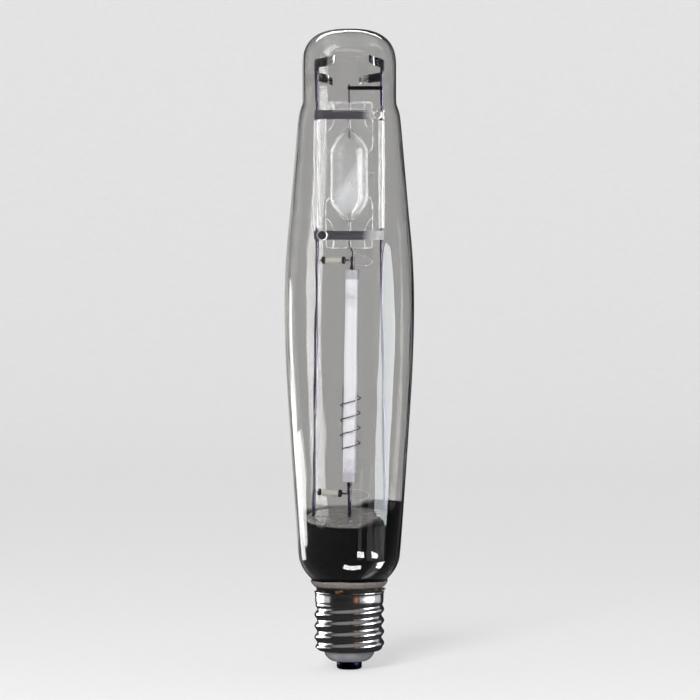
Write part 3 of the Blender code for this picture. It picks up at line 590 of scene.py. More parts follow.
def lathe_mesh(name, profile, steps=64, reshape=None):
    """A closed solid of revolution about Z. Its profile may start or end on the axis. Reshape moves a
    point: it takes radius, angle and height, and gives radius and height."""
    points, rings, faces = [], [], []
    for r, z in profile:
        if r < ON_AXIS:
            rings.append([len(points)] * steps)
            points.append((0, 0, z))
            continue
        ring = []
        for k in range(steps):
            angle = 2 * math.pi * k / steps
            at_r, at_z = reshape(r, angle, z) if reshape else (r, z)
            ring.append(len(points))
            points.append((at_r * math.cos(angle), at_r * math.sin(angle), at_z))
        rings.append(ring)
    ends_on_axis = profile[0][0] < ON_AXIS and profile[-1][0] < ON_AXIS
    for i in range(len(rings) - (1 if ends_on_axis else 0)):
        a, b = rings[i], rings[(i + 1) % len(rings)]
        for k in range(steps):
            j = (k + 1) % steps
            corners = list(dict.fromkeys((a[k], b[k], b[j], a[j])))
            if len(corners) > 2:
                faces.append(corners)
    return facing_out(mesh_of(name, points, faces))


def lathe(name, profile, look, steps=64, matrix=None, reshape=None, angle=40.0):
    mesh = lathe_mesh(name, profile, steps, reshape)
    if matrix is not None:
        mesh.transform(matrix)
    return finished(bpy.data.objects.new(name, mesh), look, angle)


def corner(before, at, after, radius, most, steps):
    """Points that round a corner, reaching at most a share of each side along it."""
    reach = min(radius, (before - at).length * most, (after - at).length * most)
    start = at + (before - at).normalized() * reach
    end = at + (after - at).normalized() * reach
    shares = [k / steps for k in range(steps + 1)]
    return [start * (1 - t) ** 2 + at * 2 * t * (1 - t) + end * t ** 2 for t in shares]


def rounded(profile, radius, steps=4):
    """The closed profile with each of its corners off the axis rounded."""
    result = []
    count = len(profile)
    for i, point in enumerate(profile):
        at = Vector(point)
        if at.x < ON_AXIS:
            result.append(at)
            continue
        before, after = Vector(profile[i - 1]), Vector(profile[(i + 1) % count])
        result += corner(before, at, after, radius, 0.45, steps)
    return result


def wire(name, points, radius, look):
    """A round wire with smooth ends, as a bevelled curve."""
    curve = bpy.data.curves.new(name, "CURVE")
    curve.dimensions = "3D"
    curve.bevel_depth = radius * MM
    curve.bevel_resolution = 5
    curve.use_fill_caps = True
    spline = curve.splines.new("POLY")
    spline.points.add(len(points) - 1)
    for point, at in zip(spline.points, points):
        point.co = (*(Vector(at) * MM), 1.0)
    spline.use_smooth = True
    return finished(bpy.data.objects.new(name, curve), look)


def block_mesh(name, low, high, bevel):
    """A block with rounded edges."""
    low, high = Vector(low) * MM, Vector(high) * MM
    mesh = bpy.data.meshes.new(name)
    body = bmesh.new()
    bmesh.ops.create_cube(body, size=1.0)
    bmesh.ops.scale(body, vec=high - low, verts=body.verts)
    bmesh.ops.translate(body, vec=(low + high) / 2, verts=body.verts)
    if bevel:
        bmesh.ops.bevel(body, geom=list(body.edges), offset=bevel * MM, segments=3, profile=0.5,
                        affect="EDGES")
    body.to_mesh(mesh)
    body.free()
    return mesh


def block(name, low, high, look, bevel, matrix=None):
    mesh = block_mesh(name, low, high, bevel)
    if matrix is not None:
        mesh.transform(matrix)
    return finished(bpy.data.objects.new(name, mesh), look)


def ribbon(name, path, heights, thickness, middle_z, look):
    """A strip of sheet metal that stands on edge along a plan path, with rounded edges."""
    points, faces = [], []
    for i, (x, y) in enumerate(path):
        share = i / (len(path) - 1)
        half = (heights[0] + (heights[1] - heights[0]) * share) / 2
        middle = middle_z[0] + (middle_z[1] - middle_z[0]) * share
        points += [(x, y, middle - half), (x, y, middle + half)]
    for i in range(0, len(points) - 2, 2):
        faces.append((i, i + 2, i + 3, i + 1))
    obj = bpy.data.objects.new(name, mesh_of(name, points, faces))
    finished(obj, look)
    sheet = obj.modifiers.new("Sheet", "SOLIDIFY")
    sheet.thickness = thickness * MM
    sheet.offset = 0.0
    edge = obj.modifiers.new("Round", "BEVEL")
    edge.width = 0.09 * MM
    edge.segments = 2
    edge.limit_method = "ANGLE"
    edge.angle_limit = math.radians(50)
    return obj


def with_booleans(obj, steps):
    """The object's mesh after joining to or cutting with each of the meshes. Steps are (operation, mesh)."""
    helpers = []
    for operation, mesh in steps:
        helper = bpy.data.objects.new("helper", mesh)
        bpy.context.scene.collection.objects.link(helper)
        helpers.append(helper)
        step = obj.modifiers.new(operation, "BOOLEAN")
        step.operation = operation
        step.solver = "EXACT"
        step.object = helper
    bpy.context.view_layer.update()
    evaluated = obj.evaluated_get(bpy.context.evaluated_depsgraph_get())
    result = bpy.data.meshes.new_from_object(evaluated)
    obj.modifiers.clear()
    obj.data = result
    for helper in helpers:
        bpy.data.objects.remove(helper)
    obj.data.shade_smooth()
    obj.data.set_sharp_from_angle(angle=math.radians(35))
    return obj


def belongs(obj, slot, *nodes, body=LAMP_BODY):
    """The piece rides on a body and stands for the CAD nodes, which it hides. The slot is not used."""
    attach(obj, body)
    if nodes:
        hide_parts(*nodes)
    return obj


# ---------------------------------------------------------------- bulb and base


def group(name, *pieces):
    """A collection of the pieces that some of the lights shine on and no others."""
    made = bpy.data.collections.get(name) or bpy.data.collections.new(name)
    for piece in pieces:
        made.objects.link(piece)


def bulb_side(per_span, dome_points):
    dome = []
    for k in range(dome_points):
        angle = math.pi / 2 * (1 - k / dome_points)
        dome.append(Vector((CROWN_R * math.cos(angle) ** (2 / CROWN_POWER) if k else 0.0,
                            CROWN_Z + (BULB_TOP_Z - CROWN_Z) * math.sin(angle) ** (2 / CROWN_POWER))))
    side = catmull_rom(SIDE, per_span)
    return [*dome, *reversed(side), Vector((NECK_R, NECK_BOTTOM_Z))]


def moved_in(profile, by):
    """The profile moved inwards, square to itself."""
    moved = []
    for i, point in enumerate(profile):
        along = profile[min(i + 1, len(profile) - 1)] - profile[max(i - 1, 0)]
        inward = Vector((along.y, -along.x)).normalized()
        moved.append(point + inward * by if point.x > 0 else Vector((0.0, point.y - by)))
    return moved


def make_bulb(looks):
    outer = bulb_side(7, 40)
    inner = moved_in(outer, BULB_WALL)
    inner[-1].y = outer[-1].y
    bulb = lathe("outer_bulb_fine", [*outer, *reversed(inner)], looks["bulb_glass"], 160, angle=80)
    belongs(bulb, "bulb_glass", "outer_bulb")
    wall = [p for p in outer if 47.5 < p.y < 96.0]
    film_out, film_in = moved_in(wall, BULB_WALL + GAP), moved_in(wall, BULB_WALL + GAP + 0.08)
    film = lathe("getter_film_fine", [*film_out, *reversed(film_in)], looks["getter_film"], 128, angle=80)
    belongs(film, "getter_film", "getter_mirror")
    group("bulb_surfaces", bulb, film)


def thread_wave(r, angle, z):
    """A wall point of the screw shell, moved in or out by the rolled right-hand thread."""
    if not (THREAD_BOTTOM_Z - 0.01 < z < THREAD_TOP_Z + 0.01) or r < THREAD_MID_R - 1.0:
        return r, z
    phase = (z - THREAD_CREST_Z) / THREAD_PITCH - angle / (2 * math.pi)
    run_out = max(0.0, min(1.0, (THREAD_TOP_Z - z) / 2.0, (z - THREAD_BOTTOM_Z + 1.0) / 2.0))
    wave = math.cos(2 * math.pi * phase)
    return r + THREAD_DEPTH / 2 * wave * run_out, z


def make_screw_shell(looks):
    rings = 150
    outer = [(19.45, SHELL_TOP_Z), (19.7, SHELL_TOP_Z - 0.15), (19.72, SHELL_TOP_Z - 0.5),
             (19.5, SHELL_TOP_Z - 0.9), (19.35, SHELL_TOP_Z - 1.4), (19.33, 40.5), (19.3, 38.6),
             (19.1, 37.6)]
    for k in range(rings + 1):
        outer.append((THREAD_MID_R, THREAD_TOP_Z - (THREAD_TOP_Z - THREAD_BOTTOM_Z) * k / rings))
    outer += [(18.5, 11.9), (18.1, 11.4), (17.5, 10.85), (16.9, 10.55), (16.2, 10.42),
              (14.7, SHELL_BOTTOM_Z)]
    inner = [(14.7, 11.0), (16.6, 11.2), (17.2, 12.4), (17.2, 37.0), (18.5, 38.5), (18.6, SHELL_TOP_Z)]
    shell = lathe("screw_shell_fine", [*outer, *inner], looks["nickel"], 144, reshape=thread_wave, angle=50)
    belongs(shell, "nickel_plate", "screw_shell")
    group("base_surfaces", shell)


def ragged(r, angle, z):
    """A cement ring's point, its edges left uneven by the hand that filled it."""
    wobble = (math.sin(3 * angle + 0.6) + 0.6 * math.sin(7 * angle + 2.0) + 0.35 * math.sin(17 * angle)
              + 0.25 * math.sin(31 * angle + 1.0))
    if z > 48.2:
        return r, z + 0.16 * wobble - 0.2
    if 45.0 < z < 47.2:
        return r - 0.06 * wobble, z + 0.12 * math.sin(11 * angle) + 0.08 * wobble
    return r, z


def make_base(looks):
    make_screw_shell(looks)
    ring = catmull_rom([(19.7, 48.3), (20.9, 49.9), (21.5, 50.4), (21.75, 50.1), (21.45, 49.2), (20.8, 48.1),
                        (20.1, 47.2), (19.4, 46.75), (18.8, 46.5), (18.5, 45.7), (18.4, 44.3)], 4)
    solid = [*ring, Vector((18.2, 39.3)), Vector((16.4, 39.3)), Vector((16.35, 43.4)), Vector((17.5, 45.2))]
    cement_ring = lathe("base_cement_fine", solid, looks["cement"], 180, reshape=ragged, angle=60)
    belongs(cement_ring, "base_cement", "base_cement")
    profile = [(16.2, 15.6), (16.2, 11.5), (14.2, 11.3), (14.2, 9.6), (13.4, 7.7), (11.9, 6.0), (10.2, 4.9),
               (8.8, 4.5), (2.6, 4.5), (2.6, 16.8), (8.0, 16.8)]
    insulator = lathe("base_insulator_fine", rounded(profile, 1.0, 5), looks["vitrite"], 96, angle=50)
    belongs(insulator, "white_vitrite", "base_insulator")
    profile = [(0.9, 17.4), (2.2, 17.4), (2.2, 4.1), (7.1, 4.1), (7.1, 1.2), (6.6, 0.45), (5.2, 0.0),
               (0.0, 0.0), (0.0, 3.0), (0.9, 3.0)]
    contact = lathe("centre_contact_fine", rounded(profile, 0.35, 3), looks["contact_metal"], 96, angle=50)
    belongs(contact, "contact_metal", "centre_contact")
    group("base_surfaces", insulator, contact)
    group("insulator_surface", insulator)
    make_side_solder(looks)


def make_side_solder(looks):
    """A hand-laid blob where the side lead is soldered to the shell's rim."""
    mesh = bpy.data.meshes.new("side_solder_fine")
    blob = bmesh.new()
    bmesh.ops.create_icosphere(blob, subdivisions=4, radius=1.0 * MM)
    for vert in blob.verts:
        x, y, z = vert.co / MM
        lump = 1 + 0.07 * math.sin(5 * x + 2) * math.cos(4 * y) + 0.05 * math.sin(9 * z + 3 * y)
        vert.co = Vector((x * 1.08, y * 1.5, z * 0.86)) * MM * lump
    bmesh.ops.translate(blob, vec=Vector((19.35, 0.0, 45.15)) * MM, verts=blob.verts)
    blob.to_mesh(mesh)
    blob.free()
    joint = finished(bpy.data.objects.new("side_solder_fine", mesh), looks["solder"], 80)
    belongs(joint, "solder", "side_solder_joint")


# ---------------------------------------------------------------- stem and shield


def shield_matrix():
    return Matrix.Translation((0, 0, SHIELD_Z * MM)) @ Matrix.Rotation(math.radians(SHIELD_TILT), 4, "X")


def upright_mesh(radius, x, low, high, steps=32):
    mesh = lathe_mesh("cutter", [(0, high), (radius, high), (radius, low), (0, low)], steps)
    mesh.transform(Matrix.Translation((x * MM, 0, 0)))
    return mesh


def make_shield(looks):
    """The pan, its rim rolled down, with a hole at each rod."""
    profile = [(0, 0.0), (12.0, 0.0), (SHIELD_TOP_R - 0.6, 0.0), (SHIELD_TOP_R, -0.08),
               (SHIELD_TOP_R + 0.5, -0.35), (SHIELD_R, -SHIELD_DROP + 0.2), (SHIELD_R, -SHIELD_DROP),
               (SHIELD_R - 0.3, -SHIELD_DROP), (SHIELD_TOP_R - 0.1, -0.75), (SHIELD_TOP_R - 0.7, -SHEET),
               (0, -SHEET)]
    pan = lathe("heat_shield_fine", profile, looks["shield_metal"], 128, shield_matrix())
    holes = [(-ROD_LOW_X, ROD_R), (0.0, CENTRE_ROD_R), (RIGHT_PIERCE_X, ROD_R)]
    cutters = [upright_mesh(r + 0.45, x, SHIELD_Z - 6, SHIELD_Z + 6) for x, r in holes]
    with_booleans(pan, [("DIFFERENCE", cutter) for cutter in cutters])
    belongs(pan, "shield_steel", "heat_shield")
    make_shield_clips(looks)


def make_shield_clips(looks):
    top = shield_matrix() @ Matrix.Translation((0, 0, GAP * MM))
    start, end = Vector(CLIP_START), Vector(CLIP_END)
    along = (end - start).normalized()
    place = (top @ Matrix.Translation((start * MM).to_3d())
             @ Matrix.Rotation(math.atan2(along.y, along.x), 4, "Z"))
    left = block("shield_clip_left_fine", (0, -CLIP_WIDE / 2, 0),
                 ((end - start).length, CLIP_WIDE / 2, CLIP_SHEET), looks["bright_steel"], 0.12, place)
    tab = block_mesh("tab", (CLIP_TAB_R, -CLIP_TAB_WIDE / 2, -CLIP_TAB_TALL),
                     (CLIP_TAB_R + CLIP_SHEET, CLIP_TAB_WIDE / 2, CLIP_SHEET), 0.12)
    tab.transform(top @ Matrix.Rotation(math.radians(CLIP_TAB_DEG), 4, "Z"))
    with_booleans(left, [("UNION", tab)])
    belongs(left, "bright_steel", "shield_clip_left")
    right = block("shield_clip_right_fine", (15.4, -3.0, 0), (20.2, -1.4, CLIP_SHEET), looks["bright_steel"],
                  0.12, top @ Matrix.Rotation(math.radians(-8), 4, "Z"))
    belongs(right, "bright_steel", "shield_clip_right")


def rod_path(side):
    pierce = ROD_LOW_X if side < 0 else RIGHT_PIERCE_X
    path = [(LEAD_X, 0, 58.0), (LEAD_X, 0, 70.0), (LEAD_X + 1.2, 0, 72.2), (pierce - 1.2, 0, 79.0),
            (pierce, 0, 81.2), (pierce, 0, SHIELD_Z + 1.2)]
    if side > 0:
        path += [(pierce - 0.6, 0, SHIELD_Z + 3.0), (ROD_LOW_X, 0, ROD_FOOT_Z)]
    path += [(ROD_LOW_X - 0.05, 0, ROD_FOOT_Z + 3.0), (ROD_TOP_X, 0, ROD_BEND_Z), (ROD_TOP_X, 0, ROD_TOP_Z)]
    return [(side * x, y, z) for x, y, z in path]


def softened(path, steps):
    """The path with its corners rounded, as wire bent over a former."""
    points = [Vector(p) for p in path]
    result = [points[0]]
    for before, at, after in zip(points, points[1:], points[2:]):
        result += corner(before, at, after, BEND_R, 0.4, steps)
    return [*result, points[-1]]


def make_frame(looks):
    for side, where in ((-1, "left"), (1, "right")):
        rod = wire(f"{where}_frame_rod_fine", softened(rod_path(side), 4), ROD_R, looks["rod_metal"])
        belongs(rod, "molybdenum_rod", f"{where}_frame_rod")
    foot = HPS_FOOT.z - NIOBIUM_OUT
    profile = [(0, foot + 4.4), (SLIP_PIN_R - 0.15, foot + 4.4), (SLIP_PIN_R, foot + 4.2),
               (SLIP_PIN_R, foot - 0.5), (CENTRE_ROD_R, foot - 0.9), (CENTRE_ROD_R, 92.6), (1.0, 92.0),
               (1.0, 58.0), (0, 58.0)]
    belongs(lathe("centre_lead_fine", profile, looks["rod_metal"], 32), "molybdenum_rod", "centre_lead_rod")
    bar = block("top_link_bar_fine", (-0.9, -2.0, LINK_BAR_Z - 1.1),
                (ROD_TOP_X + 0.6, -1.15, LINK_BAR_Z + 1.1), looks["black_metal"], 0.3)
    belongs(bar, "molybdenum_rod", "top_link_bar")
    make_springs(looks)


def spring_path(side, depth):
    angle = math.radians(SPRING_TIP_DEG[side, depth])
    tip = (SPRING_TIP_R * math.cos(angle), SPRING_TIP_R * math.sin(angle))
    path = [(ROD_TOP_X + 0.1, 1.3), (ROD_TOP_X + 0.9, 6.5), (ROD_TOP_X - 0.9, 13.6), tip,
            (tip[0] - 1.9, tip[1] - 0.4), (tip[0] - 2.7, tip[1] - 1.6)]
    return [(side * p.x, depth * p.y) for p in catmull_rom(path, 7)]


def make_springs(looks):
    for side, where in ((-1, "left"), (1, "right")):
        for depth, facing, z in ((-1, "front", FRONT_SPRING_Z), (1, "back", BACK_SPRING_Z)):
            name = f"dome_spring_{where}_{facing}"
            path = spring_path(side, depth)
            leaf = ribbon(f"{name}_fine", path, SPRING_TALL, 0.3, z, looks["spring_metal"])
            belongs(leaf, "dark_strap_steel", name)
    left, right = spring_path(-1, -1)[-1], spring_path(1, -1)[-1]
    level = FRONT_SPRING_Z[1]
    middle = ((left[0] + right[0]) / 2, (left[1] + right[1]) / 2 - 0.6, level + 0.4)
    ends = (left[0] + 0.6, left[1], level + 1.0), (right[0] - 0.6, right[1], level + 1.0)
    path = catmull_rom([ends[0], middle, ends[1]], 12)
    cross = wire("dome_cross_wire_fine", path, 0.2, looks["bright_steel"])
    belongs(cross, "bright_steel", "dome_cross_wire")


# ---------------------------------------------------------------- halide arc tube


def arch(tip, shoulder, radius):
    points, count = [], 28
    for k in range(count + 1):
        share = k / count
        rise = 1 - (1 - math.sin(math.pi / 2 * share)) ** 0.8
        points.append((radius * rise, tip + (shoulder - tip) * share ** 1.25))
    return points


def halide_body(radius, tips, shoulders):
    return [*arch(tips[1], shoulders[1], radius), *reversed(arch(tips[0], shoulders[0], radius))]


def make_halide_tube(looks):
    tube = lathe("mh_arc_tube_fine", halide_body(MH_R, MH_TIP_Z, MH_SHOULDER_Z), looks["quartz"], 96)
    steps = []
    for low, high, shoulder in ((PINCH_OUT_Z[0], MH_SHOULDER_Z[0] - 0.4, 1),
                                (MH_SHOULDER_Z[1] + 0.4, PINCH_OUT_Z[1], -1)):
        web = block_mesh("web", (-PINCH_HALF_X, -PINCH_Y / 2, low), (PINCH_HALF_X, PINCH_Y / 2, high), 1.1)
        steps.append(("UNION", web))
        outer_end = low if shoulder > 0 else high
        for side in (-1, 1):
            near, far = sorted((side * 8.6, side * PINCH_HALF_X))
            rib_low, rib_high = sorted((outer_end, outer_end + shoulder * 12.5))
            rib = block_mesh("rib", (near, -1.7, rib_low + 0.05), (far, 1.7, rib_high - 0.05), 1.3)
            steps.append(("UNION", rib))
    nub = lathe_mesh("nub", rounded([(0, 4.2), (1.7, 4.2), (1.7, 0), (0, 0)], 1.4, 5), 32)
    nub.transform(placed_along((MH_R - 1.5, 0, TIP_OFF_Z), (MH_R + 2.0, 0, TIP_OFF_Z + 0.4)))
    steps.append(("UNION", nub))
    cavity_tips = (MH_TIP_Z[0] + 1.6, MH_TIP_Z[1] - 1.6)
    cavity_shoulders = (MH_SHOULDER_Z[0] + 0.4, MH_SHOULDER_Z[1] - 0.4)
    cavity = lathe_mesh("cavity", halide_body(MH_R - MH_WALL, cavity_tips, cavity_shoulders), 96)
    steps.append(("DIFFERENCE", cavity))
    for low, high in ((230.0, MH_TIP_Z[0] + 4.0), (MH_TIP_Z[1] - 4.0, 325.0)):
        steps.append(("DIFFERENCE", upright_mesh(0.75, 0.0, low, high, 24)))
    with_booleans(tube, steps)
    belongs(tube, "quartz", "mh_arc_tube")
    skin = halide_body(MH_R - MH_WALL - 0.12, cavity_tips, cavity_shoulders)
    haze = lathe("mh_salt_haze", skin, looks["deposit"], 96, angle=80)
    belongs(haze, "quartz")


def make_pinch_highlights(looks):
    """Whitish wires along the flash lines that outline each pinch and its two edge ribs: painted highlights
    for their bright edges.
    """
    edge = PINCH_HALF_X - 0.25
    for where, out_z, shoulder, up in (("lower", PINCH_OUT_Z[0], MH_SHOULDER_Z[0], 1),
                                       ("upper", PINCH_OUT_Z[1], MH_SHOULDER_Z[1], -1)):
        outline = [(1.4, out_z + up * 0.5), (7.0, out_z + up * 0.3), (edge - 1.2, out_z + up * 0.5),
                   (edge - 0.1, out_z + up * 1.6), (edge, out_z + up * 8.0), (edge, shoulder - up * 5.5),
                   (edge - 0.7, shoulder - up * 1.6), (MH_R + 0.1, shoulder + up * 0.2)]
        rib = [(8.8, out_z + up * 0.8), (8.5, out_z + up * 6.0), (8.9, out_z + up * 11.0),
               (10.4, out_z + up * 14.5), (edge - 0.4, out_z + up * 17.0)]
        for side, tag in ((-1, "left"), (1, "right")):
            for line, y, radius, kind in ((outline, -PINCH_Y / 2 - 0.1, 0.3, "seam"),
                                          (rib, -1.85, 0.22, "rib_line")):
                # Each wire is a painted highlight along a pinch or rib edge.
                points = [(side * p.x, y, p.y) for p in catmull_rom(line, 8)]
                seam = wire(f"mh_{where}_pinch_{tag}_{kind}", points, radius, looks["quartz_edge_highlight"])
                belongs(seam, "quartz")


def make_halide_leads(looks):
    for where, up, tip in (("upper", 1, MH_TIP_Z[1]), ("lower", -1, MH_TIP_Z[0])):
        shank_in, shank_out = tip - up * 7.5, tip + up * 4.1
        coil_turns, steps, coil_r = 6, 16, 0.68
        turns = []
        for k in range(coil_turns * steps + 1):
            angle = 2 * math.pi * k / steps
            z = tip - up * (6.6 - 3.4 * k / (coil_turns * steps))
            turns.append((coil_r * math.cos(angle), coil_r * math.sin(angle), z))
        coil = wire(f"mh_{where}_electrode_coil_fine", turns, 0.27, looks["tungsten"])
        belongs(coil, "tungsten")
        shank_line = [(0, 0, shank_in), (0, 0, (shank_in + shank_out) / 2), (0, 0, shank_out)]
        shank = wire(f"mh_{where}_electrode_fine", shank_line, 0.3, looks["tungsten"])
        belongs(shank, "tungsten", f"mh_{where}_electrode")
        start = shank_out + up * 5.5
        lean = HPS_HEAD.x + 0.1 if up < 0 else 0.0
        end = LINK_BAR_Z + 2.2 if up > 0 else HPS_HEAD.z + NIOBIUM_OUT - 3.6
        path = [(0, 0, start), (0, 0, start + up * 3.2), (lean, 0, start + up * 6.8), (lean, 0, end)]
        lead = wire(f"mh_{where}_lead_fine", softened(path, 4), 0.4, looks["black_metal"])
        belongs(lead, "dark_strap_steel", f"mh_{where}_lead")


def clamp_path(flip, depth):
    path = [(-19.6, STRAP_END_Y), (-17.4, STRAP_END_Y), (-14.6, STRAP_Y), (18.0, STRAP_Y),
            (19.8, STRAP_END_Y)]
    corners = softened([(x, y, 0) for x, y in path], 5)
    return [(flip * p.x, depth * p.y) for p in corners]


def make_clamp(where, z, flip, looks):
    eyelet_x = flip * EYELET_X
    hole_r = EYELET_BARREL_R + 0.15
    for depth, facing in ((-1, "front"), (1, "back")):
        name = f"{where}_clamp_{facing}"
        strap = ribbon(f"{name}_fine", clamp_path(flip, depth), (CLAMP_TALL, CLAMP_TALL), STRAP_SHEET,
                       (z, z), looks["strap_metal"])
        cutter = lathe_mesh("cutter", [(0, 2), (hole_r, 2), (hole_r, -2), (0, -2)], 48)
        cutter.transform(Matrix.Translation((eyelet_x * MM, depth * STRAP_Y * MM, z * MM))
                         @ Matrix.Rotation(math.pi / 2, 4, "X"))
        with_booleans(strap, [("DIFFERENCE", cutter)])
        belongs(strap, "dark_strap_steel", name)
    face = STRAP_Y + STRAP_SHEET / 2 + 0.05
    rim = STRAP_Y + STRAP_SHEET / 2 + GAP + 0.45
    half = [(EYELET_BORE_R, rim - 0.25), (EYELET_BORE_R + 0.25, rim), (EYELET_R - 0.35, rim),
            (EYELET_R, rim - 0.3), (EYELET_R, face + 0.1), (EYELET_R - 0.15, face), (EYELET_BARREL_R, face)]
    look = looks["bright_steel"]
    if where == "lower":
        half = [(0, rim - 0.35), (1.2, rim - 0.3), *half[1:]]
        look = looks["rivet_metal"]
    profile = [*half, *[(r, -height) for r, height in reversed(half)]]
    eyelet = lathe(f"{where}_clamp_eyelet_fine", profile, look, 48,
                   Matrix.Translation((eyelet_x * MM, 0, z * MM)) @ Matrix.Rotation(math.pi / 2, 4, "X"))
    belongs(eyelet, "bright_steel", f"{where}_clamp_eyelet")


def make_sleeves(looks):
    low, high = SLEEVE_Z
    wall = [(SLEEVE_R, high), (SLEEVE_R, low), (SLEEVE_BORE_R, low), (SLEEVE_BORE_R, high)]
    for side, where in ((-1, "left"), (1, "right")):
        profile = rounded(wall, 0.25, 4)
        sleeve = lathe(f"{where}_quartz_sleeve_fine", profile, looks["quartz"], 48,
                       Matrix.Translation((side * ROD_TOP_X * MM, 0, 0)))
        belongs(sleeve, "quartz", f"{where}_quartz_sleeve")


# ---------------------------------------------------------------- sodium arc tube


def make_sodium_tube(looks):
    axis = placed_along(HPS_FOOT, HPS_HEAD)
    long = (HPS_HEAD - HPS_FOOT).length
    profile = rounded([(HPS_R, long), (HPS_R, 0), (HPS_BORE_R, 0), (HPS_BORE_R, long)], 0.25, 4)
    belongs(lathe("hps_arc_tube_fine", profile, looks["alumina"], 64, axis), "alumina", "hps_arc_tube",
            body=TUBE_BODY)
    for where, flip in (("lower", Matrix.Identity(4)), ("upper", Matrix.Rotation(math.pi, 4, "X"))):
        end = axis @ Matrix.Translation((0, 0, 0 if where == "lower" else long * MM)) @ flip
        profile = rounded([(HPS_BORE_R - 0.1, PLUG_LONG), (HPS_BORE_R - 0.1, 0.15), (NIOBIUM_R + 0.1, 0.15),
                           (NIOBIUM_R + 0.1, PLUG_LONG)], 0.2, 3)
        belongs(lathe(f"hps_{where}_plug_fine", profile, looks["plug"], 48, end), "alumina_plug",
                f"hps_{where}_plug", body=TUBE_BODY)
        profile = [(0, 3.6), (NIOBIUM_R, 3.6), (NIOBIUM_R, -2.4), (NIOBIUM_R - 0.2, -2.7),
                   (NIOBIUM_R - 0.2, -4.4), (NIOBIUM_R, -4.7), (NIOBIUM_R, -NIOBIUM_OUT + 0.15),
                   (NIOBIUM_R - 0.15, -NIOBIUM_OUT), (NIOBIUM_BORE_R, -NIOBIUM_OUT), (NIOBIUM_BORE_R, -1.5),
                   (0, -1.5)]
        belongs(lathe(f"hps_{where}_niobium_fine", profile, looks["niobium"], 40, end), "niobium",
                f"hps_{where}_niobium_tube", body=TUBE_BODY)
    helix = []
    steps = 40
    for k in range(int(COIL_TURNS * steps) + 1):
        angle = 2 * math.pi * k / steps - math.radians(150)
        bulge = COIL_R + 0.35 * max(0.0, math.cos(2 * angle)) ** 3
        helix.append(axis @ (Vector((bulge * math.cos(angle), bulge * math.sin(angle),
                                     COIL_FOOT + COIL_PITCH * k / steps)) * MM) / MM)
    coil = wire("starting_coil_fine", helix, COIL_WIRE_R, looks["coil_metal"])
    belongs(coil, "dark_strap_steel", "starting_coil", body=TUBE_BODY)
    heights = COIL_FOOT - 1.0, COIL_FOOT + 18.0, COIL_FOOT + 36.0
    spine = [axis @ (Vector((-4.4, -0.6, z)) * MM) / MM for z in heights]
    belongs(wire("starting_wire_fine", spine, 0.15, looks["coil_metal"]), "dark_strap_steel",
            "starting_wire", body=TUBE_BODY)


def make_flex_loops(looks):
    beside = NIOBIUM_R + GAP + 0.35
    x, top, foot = HPS_HEAD.x + beside, HPS_HEAD.z + NIOBIUM_OUT, HPS_FOOT.z - NIOBIUM_OUT
    upper = [(x - 0.8, 0, top + 2.3), (x + 2.0, -0.5, top + 1.2), (x + 6.0, -1.2, top - 0.3),
             (x + 9.2, -1.0, top - 2.6), (x + 7.0, -0.6, top - 5.0), (x + 2.0, -0.3, top - 4.8),
             (x, 0, top - 4.2)]
    x = beside
    lower = [(x, 0, foot + 3.2), (x + 2.4, -0.4, foot + 3.4), (x + 7.0, -1.2, foot + 2.4),
             (x + 9.0, -1.4, foot + 0.4), (x + 7.4, -1.2, foot - 2.0), (x + 2.4, -0.4, foot - 2.6),
             (x - 0.3, 0, foot - 2.8)]
    for where, points in (("upper", upper), ("lower", lower)):
        loop = wire(f"{where}_flex_loop_fine", catmull_rom(points, 10), 0.25, looks["loop_metal"])
        belongs(loop, "bright_steel", f"{where}_flex_loop")


def make_insulator(where, x, z, droop, rod_x, inner_x, looks):
    middle = Vector((x, 0, z))
    half = Vector((INSULATOR_LONG / 2, 0, -droop / 2))
    axis = placed_along(middle - half, middle + half)
    long = 2 * half.length
    body = lathe(f"{where}_insulator_fine",
                 rounded([(0, long), (INSULATOR_ROD_R, long), (INSULATOR_ROD_R, 0), (0, 0)], 0.3, 4),
                 looks["ceramic"], 48, axis)
    belongs(body, "ceramic", f"{where}_insulator")
    left_pin = (middle - half).x - (-rod_x + ROD_R + GAP)
    right_pin = inner_x - NIOBIUM_R - GAP - (middle + half).x
    for end, pin, place in (("left", left_pin, axis @ Matrix.Rotation(math.pi, 4, "X")),
                            ("right", right_pin, axis @ Matrix.Translation((0, 0, long * MM)))):
        profile = rounded([(0, pin), (PIN_R, pin), (PIN_R, CAP_LONG), (CAP_R - 0.5, CAP_LONG),
                           (CAP_R, CAP_LONG * 0.75), (CAP_R, CAP_LONG * 0.3), (CAP_R - 0.3, GAP),
                           (0, GAP)], 0.3, 3)
        cap = lathe(f"{where}_insulator_{end}_cap_fine", profile, looks["black_metal"], 40, place)
        belongs(cap, "dark_strap_steel", f"{where}_insulator_{end}_cap")


def dress_hidden_nodes(looks):
    """Node materials on the CAD pieces that stay as they are."""
    wanted = {
        "contact_lead_wire": "copper", "shell_lead_wire": "copper", "stem_flare": "stem_glass",
        "exhaust_tube": "stem_glass", "getter_ring": "bright_steel", "getter_holder": "bright_steel",
        "hps_lower_electrode": "tungsten", "hps_upper_electrode": "tungsten",
        "mh_upper_foil": "foil", "mh_lower_foil": "foil",
    }
    for node, look in wanted.items():
        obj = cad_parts[node]
        obj.data.materials.clear()
        obj.data.materials.append(looks[look])


# ---------------------------------------------------------------- studio


